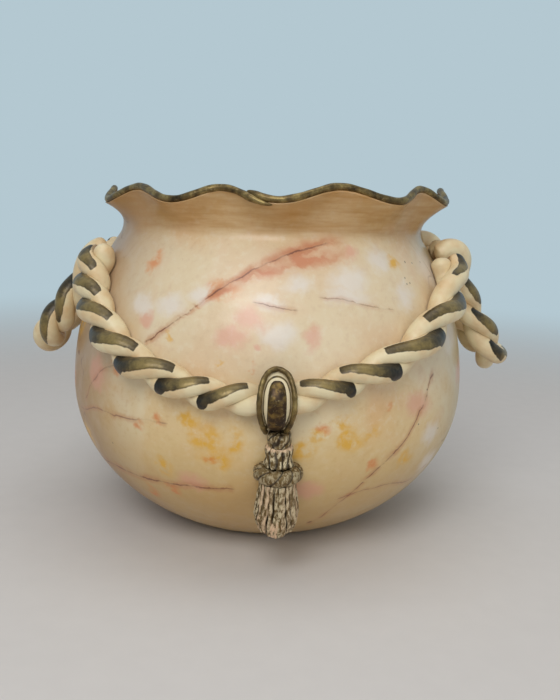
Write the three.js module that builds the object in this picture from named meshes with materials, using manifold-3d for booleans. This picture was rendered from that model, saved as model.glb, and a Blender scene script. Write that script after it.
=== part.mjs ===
// Ruffled planter vase with a rope garland, two rope handles and tassels.
// Millimetres, Z up. The front tassel is at -Y and the right handle at +X.
import * as THREE from 'three';
import { mergeVertices } from 'three/addons/utils/BufferGeometryUtils.js';
import Module from 'manifold-3d';

const wasm = await Module();
wasm.setup();

// Clearance between two pieces that touch, and between the two strands of a rope
const GAP = 0.3;
const STRAND_GAP = 0.8;

// Bowl
const BELLY_RADIUS = 145;
const LOWER_REACH = 115; // half axis of the belly curve below its widest ring
const UPPER_REACH = 167; // the same above it
const BASE_RADIUS = 62;
const NECK_RADIUS = 109;
const LIP_RADIUS = 124;
const NECK_LENGTH = 23.5; // from the crease under the neck up to the lip
const NECK_FLARE_START = 1; // how far the neck leans out before it flares
const WALL = 7;
const FLOOR = 9;
const INNER_FOOT = 2; // height over the floor where the inner wall begins
const BOWL_SEGMENTS = 96;

// Hand-pinched ruffle of the lip. Each trough is given in degrees round from the front.
const RUFFLE_TROUGHS = [-70, -33, -2, 35, 64, 94, 122, 177, 221, 265];
const RUFFLE_RISE = 4.1;
const RUFFLE_FLARE = 3.2;
const LIP_LEAN = 3; // the lip stands off the pot's axis towards +X
const LIP_TILT = 1.3; // degrees, up towards +X

// Bead on the lip
const RIM_BEAD_RADIUS = 2.3;
const RIM_BEAD_OVERHANG = 0.6; // past the outside of the lip

// Garland ropes
const GARLAND_OVER_BELLY = 15; // foot of the rope's lowest point over the widest ring
const GARLAND_UNDER_NECK = 12; // foot of its highest point under the crease
const GARLAND_HALF_SPLIT = 6; // half distance between the two ropes' ends, inside the loop
const GARLAND_STRAND_FRONT = 4.9;
const GARLAND_STRAND_SIDE = 6.3;
const GARLAND_SINK = 2.2; // how far the rope is pressed against the wall
// Way of each rope over the wall: degrees round from the tassel, share of the rise
const GARLAND_WAY = {
  left: [[17, 0.035], [27, 0.12], [36, 0.21], [46, 0.38], [56.5, 0.6], [61.5, 0.76], [63.5, 0.92]],
  right: [[14.5, 0.115], [24.5, 0.21], [33, 0.29], [42, 0.44], [50.5, 0.56], [57.5, 0.68], [64, 0.8],
    [66, 0.92]],
};
// Places along each rope where one strand passes over the other: first, last and their number
const GARLAND_CROSSINGS = {
  left: { first: 0.13, last: 0.932, count: 7 },
  right: { first: 0.135, last: 0.922, count: 5 },
};

// Handle ropes
const HANDLE_SPREAD = 19; // half distance between the two legs near the bottom
const HANDLES = {
  left: {
    underNeck: 19.5, // foot of the rope's root under the crease
    overBelly: 23.5, // middle of the rope's bottom over the widest ring
    reach: 22, // middle of the rope off the wall at the bottom
    // From root to bottom: share of the drop, share of the reach, and distance from the middle
    // plane as a share of the spread
    way: [
      [0, 0.05, 2.2], [0.036, 0.16, 2.15], [0.098, 0.22, 2.05], [0.195, 0.27, 1.9],
      [0.31, 0.31, 1.7], [0.44, 0.38, 1.5], [0.59, 0.52, 1.35], [0.74, 0.71, 1.22],
      [0.86, 0.87, 1.02], [0.945, 0.97, 0.68], [1, 1, 0],
    ],
    // Places along the rope where one strand lies outside the other
    crossings: [0.05, 0.225, 0.335, 0.445, 0.555, 0.665, 0.775, 0.95],
  },
  right: {
    underNeck: 12,
    overBelly: 17.5,
    reach: 28,
    way: [
      [0, 0.1, 1.75], [0.036, 0.33, 1.72], [0.098, 0.45, 1.66], [0.195, 0.42, 1.58],
      [0.31, 0.36, 1.48], [0.44, 0.37, 1.38], [0.59, 0.47, 1.3], [0.74, 0.65, 1.22],
      [0.875, 0.85, 1.02], [0.95, 0.96, 0.68], [1, 1, 0],
    ],
    crossings: [0.07, 0.215, 0.34, 0.465, 0.59, 0.715, 0.835, 0.955],
  },
};
const HANDLE_STRAND_ROOT = 6.9;
const HANDLE_STRAND = 6;

// Tassel
const LOOP_UNDER_GARLAND = 18.5; // bottom of the loop under the middle of the garland
const LOOP_HEIGHT = 39;
const LOOP_HALF_WIDTH = 10.2; // to the middle of the bead
// Outline of the loop: half width as a share of the widest one, share of the height
const LOOP_OUTLINE = [[0.55, 0], [0.79, 0.16], [0.98, 0.38], [1, 0.55], [0.89, 0.775], [0.57, 0.94]];
const LOOP_COVER = 3; // clay in front of the garland
const LOOP_FOOT_DEPTH = 7; // how far the loop's foot stands off the wall
const LOOP_SWELL_HEIGHT = 1.13; // height over which the face swells, as a share of the loop's height
const LOOP_FLATNESS = 5;
const LOOP_BEAD_RADIUS = 1.5;
const TONGUE_RISE = 2.4; // bottom of the tongue over the bottom of the loop
const TONGUE_HEIGHT = 31;
const TONGUE_HALF_WIDTH = 5.5;
const TONGUE_DEPTH = 3;
const TONGUE_FLATNESS = 2.2;
const TONGUE_SQUARENESS = 3.2; // 2 is an oval, and more is squarer
const TASSEL_DROP = 1.9; // top of the binding under the bottom of the loop
const TASSEL_LEAN = 12; // degrees that the lower tassel tips in towards the foot
const TASSEL_ASIDE = 2.8; // middle of the lower tassel right of the loop's, on its own face
const TASSEL_DEPTH = 0.8; // depth of the head, the collar and the skirt as a share of their width
const BINDING_RADIUS = 7.2;
const BINDING_THICKNESS = 6.5;
const HEAD_RADIUS = 8.6;
const HEAD_LENGTH = 12.8;
const HEAD_SHOULDER = 3;
const COLLAR_RADIUS = 15.4;
const COLLAR_THICKNESS = 10.4;
const COLLAR_GROOVES = 9;
const COLLAR_GROOVE_DEPTH = 0.05; // share of the radius
const SKIRT_TOP_RADIUS = 11.8;
const SKIRT_RADIUS = 13.3;
const SKIRT_FOOT_RADIUS = 7.4;
const SKIRT_LENGTH = 37;
const SKIRT_FLUTES = 9;
const SKIRT_FLUTE_DEPTH = 0.04; // share of the radius at the top
const SKIRT_FLUTE_OPENING = 0.06; // added to it at the foot

// Mesh fineness
const ROPE_SIDES = 8;
const BEAD_SIDES = 6;
const OVAL_SEGMENTS = 20;

// Heights over the base of the widest ring and of the crease under the neck
const WIDEST = LOWER_REACH * Math.sqrt(1 - (BASE_RADIUS / BELLY_RADIUS) ** 2);
const NECK_HEIGHT = WIDEST + UPPER_REACH * Math.sqrt(1 - (NECK_RADIUS / BELLY_RADIUS) ** 2);
const LIP_HEIGHT = NECK_HEIGHT + NECK_LENGTH;

const GARLAND_LOW = WIDEST + GARLAND_OVER_BELLY;
const GARLAND_HIGH = NECK_HEIGHT - GARLAND_UNDER_NECK;
const LOOP_BOTTOM = GARLAND_LOW - LOOP_UNDER_GARLAND;

// Half axis of the wall's curve at a height
function reachAt(z) {
  return z > WIDEST ? UPPER_REACH : LOWER_REACH;
}

// Outer radius of the belly at a height
function wallRadius(z) {
  return BELLY_RADIUS * Math.sqrt(Math.max(0, 1 - ((z - WIDEST) / reachAt(z)) ** 2));
}

// Distance from the belly's outer face, and the way straight out of it
function fromWall(p) {
  const reach = reachAt(p.z);
  const round = Math.hypot(p.x, p.y);
  const rise = p.z - WIDEST;
  const k = Math.hypot(round / BELLY_RADIUS, rise / reach);
  const out = new THREE.Vector3(p.x / BELLY_RADIUS ** 2, p.y / BELLY_RADIUS ** 2, rise / reach ** 2);
  const slope = out.length() / k;
  return { distance: (k - 1) / slope, out: out.normalize() };
}

// Moves a point that is inside the wall or nearer than the clearance out to it
function pressOut(p, clearance = GAP) {
  for (let pass = 0; pass < 3; pass += 1) {
    const { distance, out } = fromWall(p);
    if (distance >= clearance) break;
    p.addScaledVector(out, clearance - distance);
  }
  return p;
}

// Point over the wall at an angle from the front, a height and a distance out
function overWall(degrees, z, distance) {
  const turn = THREE.MathUtils.degToRad(degrees);
  const radius = wallRadius(z);
  const p = new THREE.Vector3(radius * Math.sin(turn), -radius * Math.cos(turn), z);
  return p.addScaledVector(fromWall(p).out, distance);
}

// Closed solid from rings of points, each ring with the same count
function loft(rings, closed = false) {
  const count = rings[0].length;
  const points = rings.flat();
  const faces = [];
  const spans = closed ? rings.length : rings.length - 1;
  for (let i = 0; i < spans; i += 1) {
    const here = i * count;
    const next = ((i + 1) % rings.length) * count;
    for (let j = 0; j < count; j += 1) {
      const k = (j + 1) % count;
      faces.push(here + j, here + k, next + k, here + j, next + k, next + j);
    }
  }
  if (!closed) {
    const middle = (ring) => ring.reduce((sum, p) => sum.add(p), new THREE.Vector3())
      .divideScalar(count);
    const last = (rings.length - 1) * count;
    points.push(middle(rings[0]), middle(rings[rings.length - 1]));
    for (let j = 0; j < count; j += 1) {
      const k = (j + 1) % count;
      faces.push(points.length - 2, k, j, points.length - 1, last + j, last + k);
    }
  }
  const geometry = new THREE.BufferGeometry().setFromPoints(points);
  geometry.setIndex(faces);
  return facingOut(geometry);
}

// Turns every face round if the solid is inside out
function facingOut(geometry) {
  const at = geometry.attributes.position;
  const order = geometry.index.array;
  const [a, b, c] = [new THREE.Vector3(), new THREE.Vector3(), new THREE.Vector3()];
  let volume = 0;
  for (let i = 0; i < order.length; i += 3) {
    a.fromBufferAttribute(at, order[i]);
    b.fromBufferAttribute(at, order[i + 1]);
    c.fromBufferAttribute(at, order[i + 2]);
    volume += a.dot(b.cross(c));
  }
  if (volume < 0) {
    for (let i = 0; i < order.length; i += 3) {
      [order[i + 1], order[i + 2]] = [order[i + 2], order[i + 1]];
    }
  }
  return geometry;
}

// Joins the seams of a three.js shape
function welded(shape) {
  shape.deleteAttribute('normal');
  shape.deleteAttribute('uv');
  return mergeVertices(shape, 1e-4);
}

function toSolid(geometry) {
  return new wasm.Manifold(new wasm.Mesh({
    numProp: 3,
    vertProperties: new Float32Array(geometry.attributes.position.array),
    triVerts: new Uint32Array(geometry.index.array),
  }));
}

function toGeometry(solid) {
  const mesh = solid.getMesh();
  const geometry = new THREE.BufferGeometry();
  geometry.setAttribute('position', new THREE.BufferAttribute(mesh.vertProperties, mesh.numProp));
  geometry.setIndex(new THREE.BufferAttribute(mesh.triVerts, 1));
  return geometry;
}

// What is left of a shape after the cutters, without the crumbs
function cutAway(geometry, cutters) {
  let solid = toSolid(geometry);
  cutters.forEach((cutter) => { solid = solid.subtract(toSolid(cutter)); });
  const pieces = solid.decompose().sort((one, two) => two.volume() - one.volume());
  return toGeometry(pieces[0]);
}

// Round strand through centre points, with its radius at each share of the length
function strand(centres, radiusAt, { sides = ROPE_SIDES, pressed = true, ends = true } = {}) {
  const last = centres.length - 1;
  let side = new THREE.Vector3(0, 0, 1);
  const rings = [];
  const addRing = (centre, along, radius) => {
    side = side.clone().addScaledVector(along, -side.dot(along)).normalize();
    const other = new THREE.Vector3().crossVectors(along, side);
    const ring = [];
    for (let j = 0; j < sides; j += 1) {
      const turn = (2 * Math.PI * j) / sides;
      const p = centre.clone()
        .addScaledVector(side, radius * Math.cos(turn))
        .addScaledVector(other, radius * Math.sin(turn));
      ring.push(pressed ? pressOut(p) : p);
    }
    rings.push(ring);
  };
  centres.forEach((centre, i) => {
    const before = centres[Math.max(0, i - 1)];
    const after = centres[Math.min(last, i + 1)];
    const along = after.clone().sub(before).normalize();
    const radius = radiusAt(i / last);
    if (ends && i === 0) addRing(centre.clone().addScaledVector(along, -0.6 * radius), along, 0.6 * radius);
    addRing(centre, along, radius);
    if (ends && i === last) addRing(centre.clone().addScaledVector(along, 0.6 * radius), along, 0.6 * radius);
  });
  return loft(rings);
}

// The two strands of a rope. phaseAt gives the twist in radians at each share of the length.
function rope({ centreAt, outAt, radiusAt, phaseAt, steps, grow = 0, pressed = true }) {
  return [0, Math.PI].map((start) => {
    const centres = [];
    for (let i = 0; i <= steps; i += 1) {
      const share = i / steps;
      const centre = centreAt(share);
      const along = centreAt(Math.min(1, share + 0.002)).sub(centreAt(Math.max(0, share - 0.002))).normalize();
      const out = outAt(share, centre);
      out.addScaledVector(along, -out.dot(along)).normalize();
      const across = new THREE.Vector3().crossVectors(along, out);
      const apart = radiusAt(share) + STRAND_GAP / 2;
      const phase = phaseAt(share) + start;
      centres.push(centre.clone()
        .addScaledVector(out, apart * Math.cos(phase))
        .addScaledVector(across, apart * Math.sin(phase)));
    }
    return strand(centres, (share) => radiusAt(share) + grow, { pressed });
  });
}

// Mirror image or half turn of a geometry, still facing out
function placed(geometry, matrix) {
  return facingOut(geometry.clone().applyMatrix4(matrix));
}

// Colours and surfaces
const clay = {
  marbled: { color: 0xdcc49e, roughness: 0.38 },
  cream: { color: 0xdccba8, roughness: 0.45 },
  bronze: { color: 0x6b5a37, roughness: 0.42, metalness: 0.35 },
};

const group = new THREE.Group();
group.name = 'planter_vase';

function add(name, geometry, finish) {
  const mesh = new THREE.Mesh(geometry, new THREE.MeshStandardMaterial(finish));
  mesh.name = name;
  group.add(mesh);
}

// Bowl and rim bead

// 1 in a trough of the ruffle and -1 on a crest, at an angle from the front
function ruffleWave(turn) {
  const first = RUFFLE_TROUGHS[0];
  const degrees = THREE.MathUtils.euclideanModulo(THREE.MathUtils.radToDeg(turn) - first, 360) + first;
  const troughs = [...RUFFLE_TROUGHS, first + 360];
  const i = troughs.findLastIndex((trough, k) => k < troughs.length - 1 && trough <= degrees);
  return Math.cos((2 * Math.PI * (degrees - troughs[i])) / (troughs[i + 1] - troughs[i]));
}

// Ruffles a point of the turned pot, with a share of 0 at the neck and 1 at the lip
function ruffled(p, share) {
  const wave = ruffleWave(Math.atan2(p.x, -p.y));
  const out = share * RUFFLE_FLARE * wave;
  const stretch = 1 + out / Math.max(1, Math.hypot(p.x, p.y));
  return new THREE.Vector3(
    p.x * stretch + share * LIP_LEAN,
    p.y * stretch,
    p.z + share * (p.x * Math.tan(THREE.MathUtils.degToRad(LIP_TILT)) - RUFFLE_RISE * wave),
  );
}

function bowlProfile() {
  const outer = [];
  const baseTurn = Math.asin(BASE_RADIUS / BELLY_RADIUS);
  for (let i = 0; i <= 7; i += 1) {
    const turn = THREE.MathUtils.lerp(baseTurn, Math.PI / 2, i / 7);
    outer.push([BELLY_RADIUS * Math.sin(turn), WIDEST - LOWER_REACH * Math.cos(turn)]);
  }
  const neckTurn = Math.asin(NECK_RADIUS / BELLY_RADIUS);
  for (let i = 1; i <= 5; i += 1) {
    const turn = THREE.MathUtils.lerp(Math.PI / 2, neckTurn, i / 5);
    outer.push([BELLY_RADIUS * Math.sin(turn), WIDEST + UPPER_REACH * Math.cos(turn)]);
  }
  const flare = new THREE.QuadraticBezierCurve(
    new THREE.Vector2(NECK_RADIUS, NECK_HEIGHT),
    new THREE.Vector2(NECK_RADIUS + NECK_FLARE_START, (NECK_HEIGHT + LIP_HEIGHT) / 2),
    new THREE.Vector2(LIP_RADIUS, LIP_HEIGHT),
  );
  flare.getPoints(3).slice(1).forEach((p) => outer.push([p.x, p.y]));
  // The inside follows the outside at the wall's thickness, down to the floor
  const inner = [];
  for (let i = outer.length - 1; i > 0; i -= 1) {
    const [r, z] = outer[i];
    const [rBelow, zBelow] = outer[i - 1];
    const length = Math.hypot(r - rBelow, z - zBelow);
    const p = [r - (WALL * (z - zBelow)) / length, z + (WALL * (r - rBelow)) / length];
    if (i === outer.length - 1) p[1] = LIP_HEIGHT;
    if (p[1] > FLOOR + INNER_FOOT && i % 2 === (outer.length - 1) % 2) inner.push(p);
  }
  return [[0, 0], ...outer, ...inner, [BASE_RADIUS, FLOOR], [0, FLOOR]]
    .map(([r, z]) => new THREE.Vector2(r, z));
}

function bowl() {
  const shape = welded(new THREE.LatheGeometry(bowlProfile(), BOWL_SEGMENTS));
  const at = shape.attributes.position;
  const p = new THREE.Vector3();
  // The lathe turns about Y, and the pot stands along Z
  shape.rotateX(Math.PI / 2);
  for (let i = 0; i < at.count; i += 1) {
    p.fromBufferAttribute(at, i);
    const share = THREE.MathUtils.clamp((p.z - NECK_HEIGHT) / (LIP_HEIGHT - NECK_HEIGHT), 0, 1) ** 1.5;
    const moved = ruffled(p, share);
    at.setXYZ(i, moved.x, moved.y, moved.z);
  }
  return facingOut(shape);
}

function rimBead() {
  const rings = [];
  for (let i = 0; i < BOWL_SEGMENTS; i += 1) {
    const turn = (2 * Math.PI * i) / BOWL_SEGMENTS;
    const radial = new THREE.Vector3(Math.sin(turn), -Math.cos(turn), 0);
    const onLip = radial.clone().multiplyScalar(LIP_RADIUS - RIM_BEAD_RADIUS + RIM_BEAD_OVERHANG);
    onLip.z = LIP_HEIGHT + RIM_BEAD_RADIUS + GAP;
    const centre = ruffled(onLip, 1);
    const ring = [];
    for (let j = 0; j < BEAD_SIDES; j += 1) {
      const around = (2 * Math.PI * (j + 0.5)) / BEAD_SIDES;
      const p = centre.clone().addScaledVector(radial, RIM_BEAD_RADIUS * Math.cos(around));
      p.z += RIM_BEAD_RADIUS * Math.sin(around);
      ring.push(p);
    }
    rings.push(ring);
  }
  return loft(rings, true);
}

add('bowl', bowl(), clay.marbled);
add('rim_bead', rimBead(), clay.bronze);

// Handles: a rope over the shoulder, out and down, round the bottom and back

function handleCurve({ underNeck, overBelly, reach, way }) {
  const front = way.map(([drop, off, spread]) => {
    const z = THREE.MathUtils.lerp(NECK_HEIGHT - underNeck, WIDEST + overBelly, drop);
    const distance = off * reach;
    const fromSide = Math.asin((spread * HANDLE_SPREAD) / (wallRadius(z) + distance));
    return overWall(90 - THREE.MathUtils.radToDeg(fromSide), z, distance);
  });
  const rear = front.slice(0, -1).map((p) => new THREE.Vector3(p.x, -p.y, p.z)).reverse();
  return new THREE.CatmullRomCurve3([...front, ...rear], false, 'centripetal');
}

// The strands lie side by side at both roots and twist in between
function handlePhase(share, crossings) {
  const next = crossings.findIndex((place) => place > share);
  const i = THREE.MathUtils.clamp(next < 0 ? crossings.length : next, 1, crossings.length - 1);
  const crossed = i - 1 + (share - crossings[i - 1]) / (crossings[i] - crossings[i - 1]);
  return -Math.PI * THREE.MathUtils.clamp(crossed, -0.5, crossings.length - 0.5);
}

function handleRope(name, side, grow) {
  const curve = handleCurve(HANDLES[name]);
  curve.arcLengthDivisions = 400;
  const flip = new THREE.Vector3(side, 1, 1);
  return rope({
    centreAt: (share) => curve.getPointAt(share).multiply(flip),
    outAt: (share, centre) => fromWall(centre).out,
    radiusAt: (share) => {
      const near = Math.min(share, 1 - share);
      return THREE.MathUtils.lerp(HANDLE_STRAND_ROOT, HANDLE_STRAND, THREE.MathUtils.smoothstep(near, 0.05, 0.2));
    },
    phaseAt: (share) => handlePhase(share, HANDLES[name].crossings),
    steps: 46,
    grow,
  });
}

const sides = { left: -1, right: 1 };
const handleStrands = [];
Object.entries(sides).forEach(([name, side]) => {
  handleRope(name, side, 0).forEach((geometry, i) => {
    add(`${name}_handle_strand_${'ab'[i]}`, geometry, clay.cream);
  });
  handleStrands.push(...handleRope(name, side, GAP));
});

// Garlands: two ropes in front and two behind, meeting under the tassel loops

function garlandRope(name, side, grow) {
  const split = THREE.MathUtils.radToDeg(GARLAND_HALF_SPLIT / BELLY_RADIUS);
  const way = new THREE.CatmullRomCurve3([[split, 0], ...GARLAND_WAY[name]].map(([degrees, rise]) => overWall(
    side * degrees,
    THREE.MathUtils.lerp(GARLAND_LOW, GARLAND_HIGH, rise),
    0,
  )), false, 'centripetal');
  const radiusAt = (share) => THREE.MathUtils.lerp(
    GARLAND_STRAND_FRONT, GARLAND_STRAND_SIDE, THREE.MathUtils.smoothstep(share, 0.1, 0.7),
  );
  const { first, last, count } = GARLAND_CROSSINGS[name];
  return rope({
    centreAt: (share) => {
      const centre = way.getPointAt(share);
      const { distance, out } = fromWall(centre);
      return centre.addScaledVector(out, 2 * radiusAt(share) + GAP - GARLAND_SINK - distance);
    },
    outAt: (share, centre) => fromWall(centre).out,
    radiusAt,
    phaseAt: (share) => (side * Math.PI * (count - 1) * (share - first)) / (last - first),
    steps: 34,
    grow,
  });
}

const halfTurn = new THREE.Matrix4().makeRotationZ(Math.PI);
const garlandCutters = [];
Object.entries(sides).forEach(([name, side]) => {
  const behind = side < 0 ? 'right' : 'left';
  garlandRope(name, side, 0).forEach((geometry, i) => {
    const letter = 'ab'[i];
    add(`front_garland_${name}_strand_${letter}`, cutAway(geometry, handleStrands), clay.cream);
    add(`back_garland_${behind}_strand_${letter}`, cutAway(placed(geometry, halfTurn), handleStrands), clay.cream);
  });
  garlandCutters.push(...garlandRope(name, side, GAP));
});

// Tassels

// Depth of the garland off the wall where the loop wraps it
const ROPE_DEPTH = 4 * GARLAND_STRAND_FRONT + STRAND_GAP + GAP - GARLAND_SINK;

// How far the loop's face stands off the wall at a height: it swells over the garland
function loopDepth(z) {
  const up = THREE.MathUtils.clamp((z - LOOP_BOTTOM) / (LOOP_HEIGHT * LOOP_SWELL_HEIGHT), 0, 1);
  return LOOP_FOOT_DEPTH + (ROPE_DEPTH + LOOP_COVER - LOOP_FOOT_DEPTH) * Math.sin(Math.PI * up) ** 0.7;
}

// Middle line of the loop's bead, up one side and down the other, as seen from the front
function loopOutline() {
  const point = (wide, up) => new THREE.Vector3(
    wide * LOOP_HALF_WIDTH, 0, LOOP_BOTTOM + up * LOOP_HEIGHT,
  );
  return new THREE.CatmullRomCurve3([
    ...LOOP_OUTLINE.map(([wide, up]) => point(-wide, up)),
    point(0, 1),
    ...LOOP_OUTLINE.map(([wide, up]) => point(wide, up)).reverse(),
  ], false, 'centripetal');
}

// Solid from the wall out to a swelling face, with a rounded edge. The outline is in X and Z.
function swelling(outline, backDepth, frontDepth, flatness) {
  const middle = outline.reduce((sum, p) => sum.add(p), new THREE.Vector3()).divideScalar(outline.length);
  // Pairs of depth share and size: the back grows out over the wall, the face closes over it
  const edge = [0, 0.4, 0.75, 0.93].map((share) => [share, (1 - share ** flatness) ** (1 / flatness)]);
  const faceSize = edge[edge.length - 1][1];
  const steps = [[0, 0.03], [0, 0.6], ...edge, [1, faceSize * 0.75], [1, faceSize * 0.4], [1, 0.03]];
  return loft(steps.map(([share, size]) => outline.map((corner) => {
    const p = middle.clone().lerp(corner, size);
    p.y = -(wallRadius(p.z) + THREE.MathUtils.lerp(backDepth(p.z), frontDepth(p.z), share));
    return p;
  })));
}

function loopPad() {
  const inset = LOOP_BEAD_RADIUS + GAP;
  const curve = loopOutline();
  const outline = [];
  for (let i = 0; i <= OVAL_SEGMENTS; i += 1) {
    const share = i / OVAL_SEGMENTS;
    const along = curve.getTangentAt(share);
    const p = curve.getPointAt(share);
    p.x += along.z * inset;
    p.z -= along.x * inset;
    outline.push(p);
  }
  const pad = swelling(outline, () => GAP, loopDepth, LOOP_FLATNESS);
  return cutAway(pad, garlandCutters);
}

function loopBead() {
  const curve = loopOutline();
  const centres = [];
  for (let i = 0; i <= OVAL_SEGMENTS; i += 1) {
    const p = curve.getPointAt(i / OVAL_SEGMENTS);
    p.y = -(wallRadius(p.z) + loopDepth(p.z) - LOOP_BEAD_RADIUS);
    centres.push(p);
  }
  const bead = strand(centres, () => LOOP_BEAD_RADIUS, { sides: BEAD_SIDES, ends: false });
  return cutAway(bead, garlandCutters);
}

function loopTongue() {
  const outline = [];
  for (let j = 0; j < OVAL_SEGMENTS; j += 1) {
    const turn = (2 * Math.PI * j) / OVAL_SEGMENTS;
    const squared = (value) => Math.sign(value) * Math.abs(value) ** (2 / TONGUE_SQUARENESS);
    outline.push(new THREE.Vector3(
      TONGUE_HALF_WIDTH * squared(Math.cos(turn)),
      0,
      LOOP_BOTTOM + TONGUE_RISE + (TONGUE_HEIGHT / 2) * (1 + squared(Math.sin(turn))),
    ));
  }
  const back = (z) => loopDepth(z) + 2 * GAP;
  return swelling(outline, back, (z) => back(z) + TONGUE_DEPTH, TONGUE_FLATNESS);
}

// Turned solid from radius and height pairs, its face waved by a formula and its depth pressed
function turned(outline, segments, waveAt = () => 1, depth = TASSEL_DEPTH) {
  const rings = outline.map(([radius, z]) => {
    const ring = [];
    for (let j = 0; j < segments; j += 1) {
      const turn = (2 * Math.PI * j) / segments;
      const wave = radius * waveAt(turn, z);
      ring.push(new THREE.Vector3(wave * Math.cos(turn), wave * Math.sin(turn) * depth, z));
    }
    return ring;
  });
  return loft(rings);
}

function tasselPieces() {
  // The lower tassel is built along Z from its top at 0, then tipped and set on the wall
  const half = BINDING_THICKNESS / 2;
  const headTop = -BINDING_THICKNESS - GAP;
  const collarTop = headTop - HEAD_LENGTH - GAP;
  const skirtTop = collarTop - COLLAR_THICKNESS - GAP;
  const binding = turned([
    [BINDING_RADIUS * 0.75, 0], [BINDING_RADIUS, -half * 0.7], [BINDING_RADIUS, -half * 1.3],
    [BINDING_RADIUS * 0.75, -BINDING_THICKNESS],
  ], 20, () => 1, 1);
  const head = turned([
    [HEAD_RADIUS * 0.8, headTop], [HEAD_RADIUS, headTop - HEAD_SHOULDER], [HEAD_RADIUS * 1.05, headTop - HEAD_LENGTH],
  ], 20);
  const collarMiddle = collarTop - COLLAR_THICKNESS / 2;
  const collar = turned([-1, -0.8, -0.35, 0.35, 0.8, 1].map((share) => [
    COLLAR_RADIUS - (COLLAR_THICKNESS / 2) * (1 - Math.sqrt(1 - (share * 0.9) ** 2)),
    collarMiddle - (share * COLLAR_THICKNESS) / 2,
  ]), 36, (turn, z) => 1 + COLLAR_GROOVE_DEPTH * Math.cos(
    COLLAR_GROOVES * turn + ((z - collarMiddle) * Math.PI) / COLLAR_THICKNESS,
  ));
  const flute = (turn, z) => {
    const down = (skirtTop - z) / SKIRT_LENGTH;
    return 1 + (SKIRT_FLUTE_DEPTH + SKIRT_FLUTE_OPENING * down) * Math.cos(SKIRT_FLUTES * turn);
  };
  const skirt = turned([
    [SKIRT_TOP_RADIUS, skirtTop], [(SKIRT_TOP_RADIUS + SKIRT_RADIUS) / 2, skirtTop - SKIRT_LENGTH * 0.3],
    [SKIRT_RADIUS, skirtTop - SKIRT_LENGTH * 0.6], [SKIRT_RADIUS, skirtTop - SKIRT_LENGTH * 0.8],
    [SKIRT_FOOT_RADIUS, skirtTop - SKIRT_LENGTH],
  ], 36, flute);

  const seat = new THREE.Matrix4()
    .makeTranslation(TASSEL_ASIDE, -(wallRadius(LOOP_BOTTOM) + BINDING_RADIUS * 0.8), LOOP_BOTTOM - TASSEL_DROP)
    .multiply(new THREE.Matrix4().makeRotationX(THREE.MathUtils.degToRad(TASSEL_LEAN)));
  const lower = { binding, head, collar, skirt };
  const p = new THREE.Vector3();
  Object.values(lower).forEach((geometry) => {
    geometry.applyMatrix4(seat);
    const points = geometry.attributes.position;
    for (let i = 0; i < points.count; i += 1) {
      pressOut(p.fromBufferAttribute(points, i));
      points.setXYZ(i, p.x, p.y, p.z);
    }
  });
  return { loop: loopPad(), loop_bead: loopBead(), tongue: loopTongue(), ...lower };
}

const tasselFinish = {
  loop: clay.cream,
  loop_bead: clay.bronze,
  tongue: clay.bronze,
  binding: clay.bronze,
  head: clay.bronze,
  collar: clay.bronze,
  skirt: clay.bronze,
};
Object.entries(tasselPieces()).forEach(([name, geometry]) => {
  add(`front_tassel_${name}`, geometry, tasselFinish[name]);
  add(`back_tassel_${name}`, placed(geometry, halfTurn), tasselFinish[name]);
});

export default group;
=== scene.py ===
"""Finished look of a ruffled planter vase with rope garlands, rope handles and tassels.

Lengths are in millimetres until a mesh is made. The front tassel is at -Y and the right handle at +X.
"""

import logging
import math
from dataclasses import dataclass
from enum import Enum
from functools import partial

import bpy
import numpy as np
from mathutils import Matrix


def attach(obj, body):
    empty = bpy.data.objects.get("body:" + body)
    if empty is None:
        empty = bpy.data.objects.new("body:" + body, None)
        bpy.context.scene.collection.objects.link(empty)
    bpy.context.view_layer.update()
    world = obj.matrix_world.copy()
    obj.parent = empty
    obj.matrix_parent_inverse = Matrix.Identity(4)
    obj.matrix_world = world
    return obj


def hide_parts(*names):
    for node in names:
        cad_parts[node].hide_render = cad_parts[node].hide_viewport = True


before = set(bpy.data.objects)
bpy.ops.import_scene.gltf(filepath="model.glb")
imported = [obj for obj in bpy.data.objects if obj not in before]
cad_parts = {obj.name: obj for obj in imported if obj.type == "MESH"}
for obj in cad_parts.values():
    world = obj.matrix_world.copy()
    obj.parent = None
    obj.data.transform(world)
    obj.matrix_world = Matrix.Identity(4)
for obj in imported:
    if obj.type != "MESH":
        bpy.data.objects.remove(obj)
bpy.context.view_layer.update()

MM = 0.001
log = logging.getLogger("planter_vase")


class Face(Enum):
    """The two decorated faces of the pot, with the turn about the axis in degrees."""

    FRONT = 0.0
    BACK = 180.0


class Side(Enum):
    """The two halves of the pot as seen from the front."""

    LEFT = -1
    RIGHT = 1


# Shared geometry


def unit(vectors: np.ndarray) -> np.ndarray:
    """Gives the vectors a length of 1."""
    return vectors / np.maximum(np.linalg.norm(vectors, axis=-1, keepdims=True), 1e-9)


def smooth(x: np.ndarray, low: float, high: float) -> np.ndarray:
    """Rises softly from 0 at low to 1 at high."""
    t = np.clip((np.asarray(x, float) - low) / (high - low), 0, 1)
    return t * t * (3 - 2 * t)


def lerp(a: float, b: float, share: np.ndarray) -> np.ndarray:
    """Goes from a to b as share goes from 0 to 1."""
    return a + (b - a) * share


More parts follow.
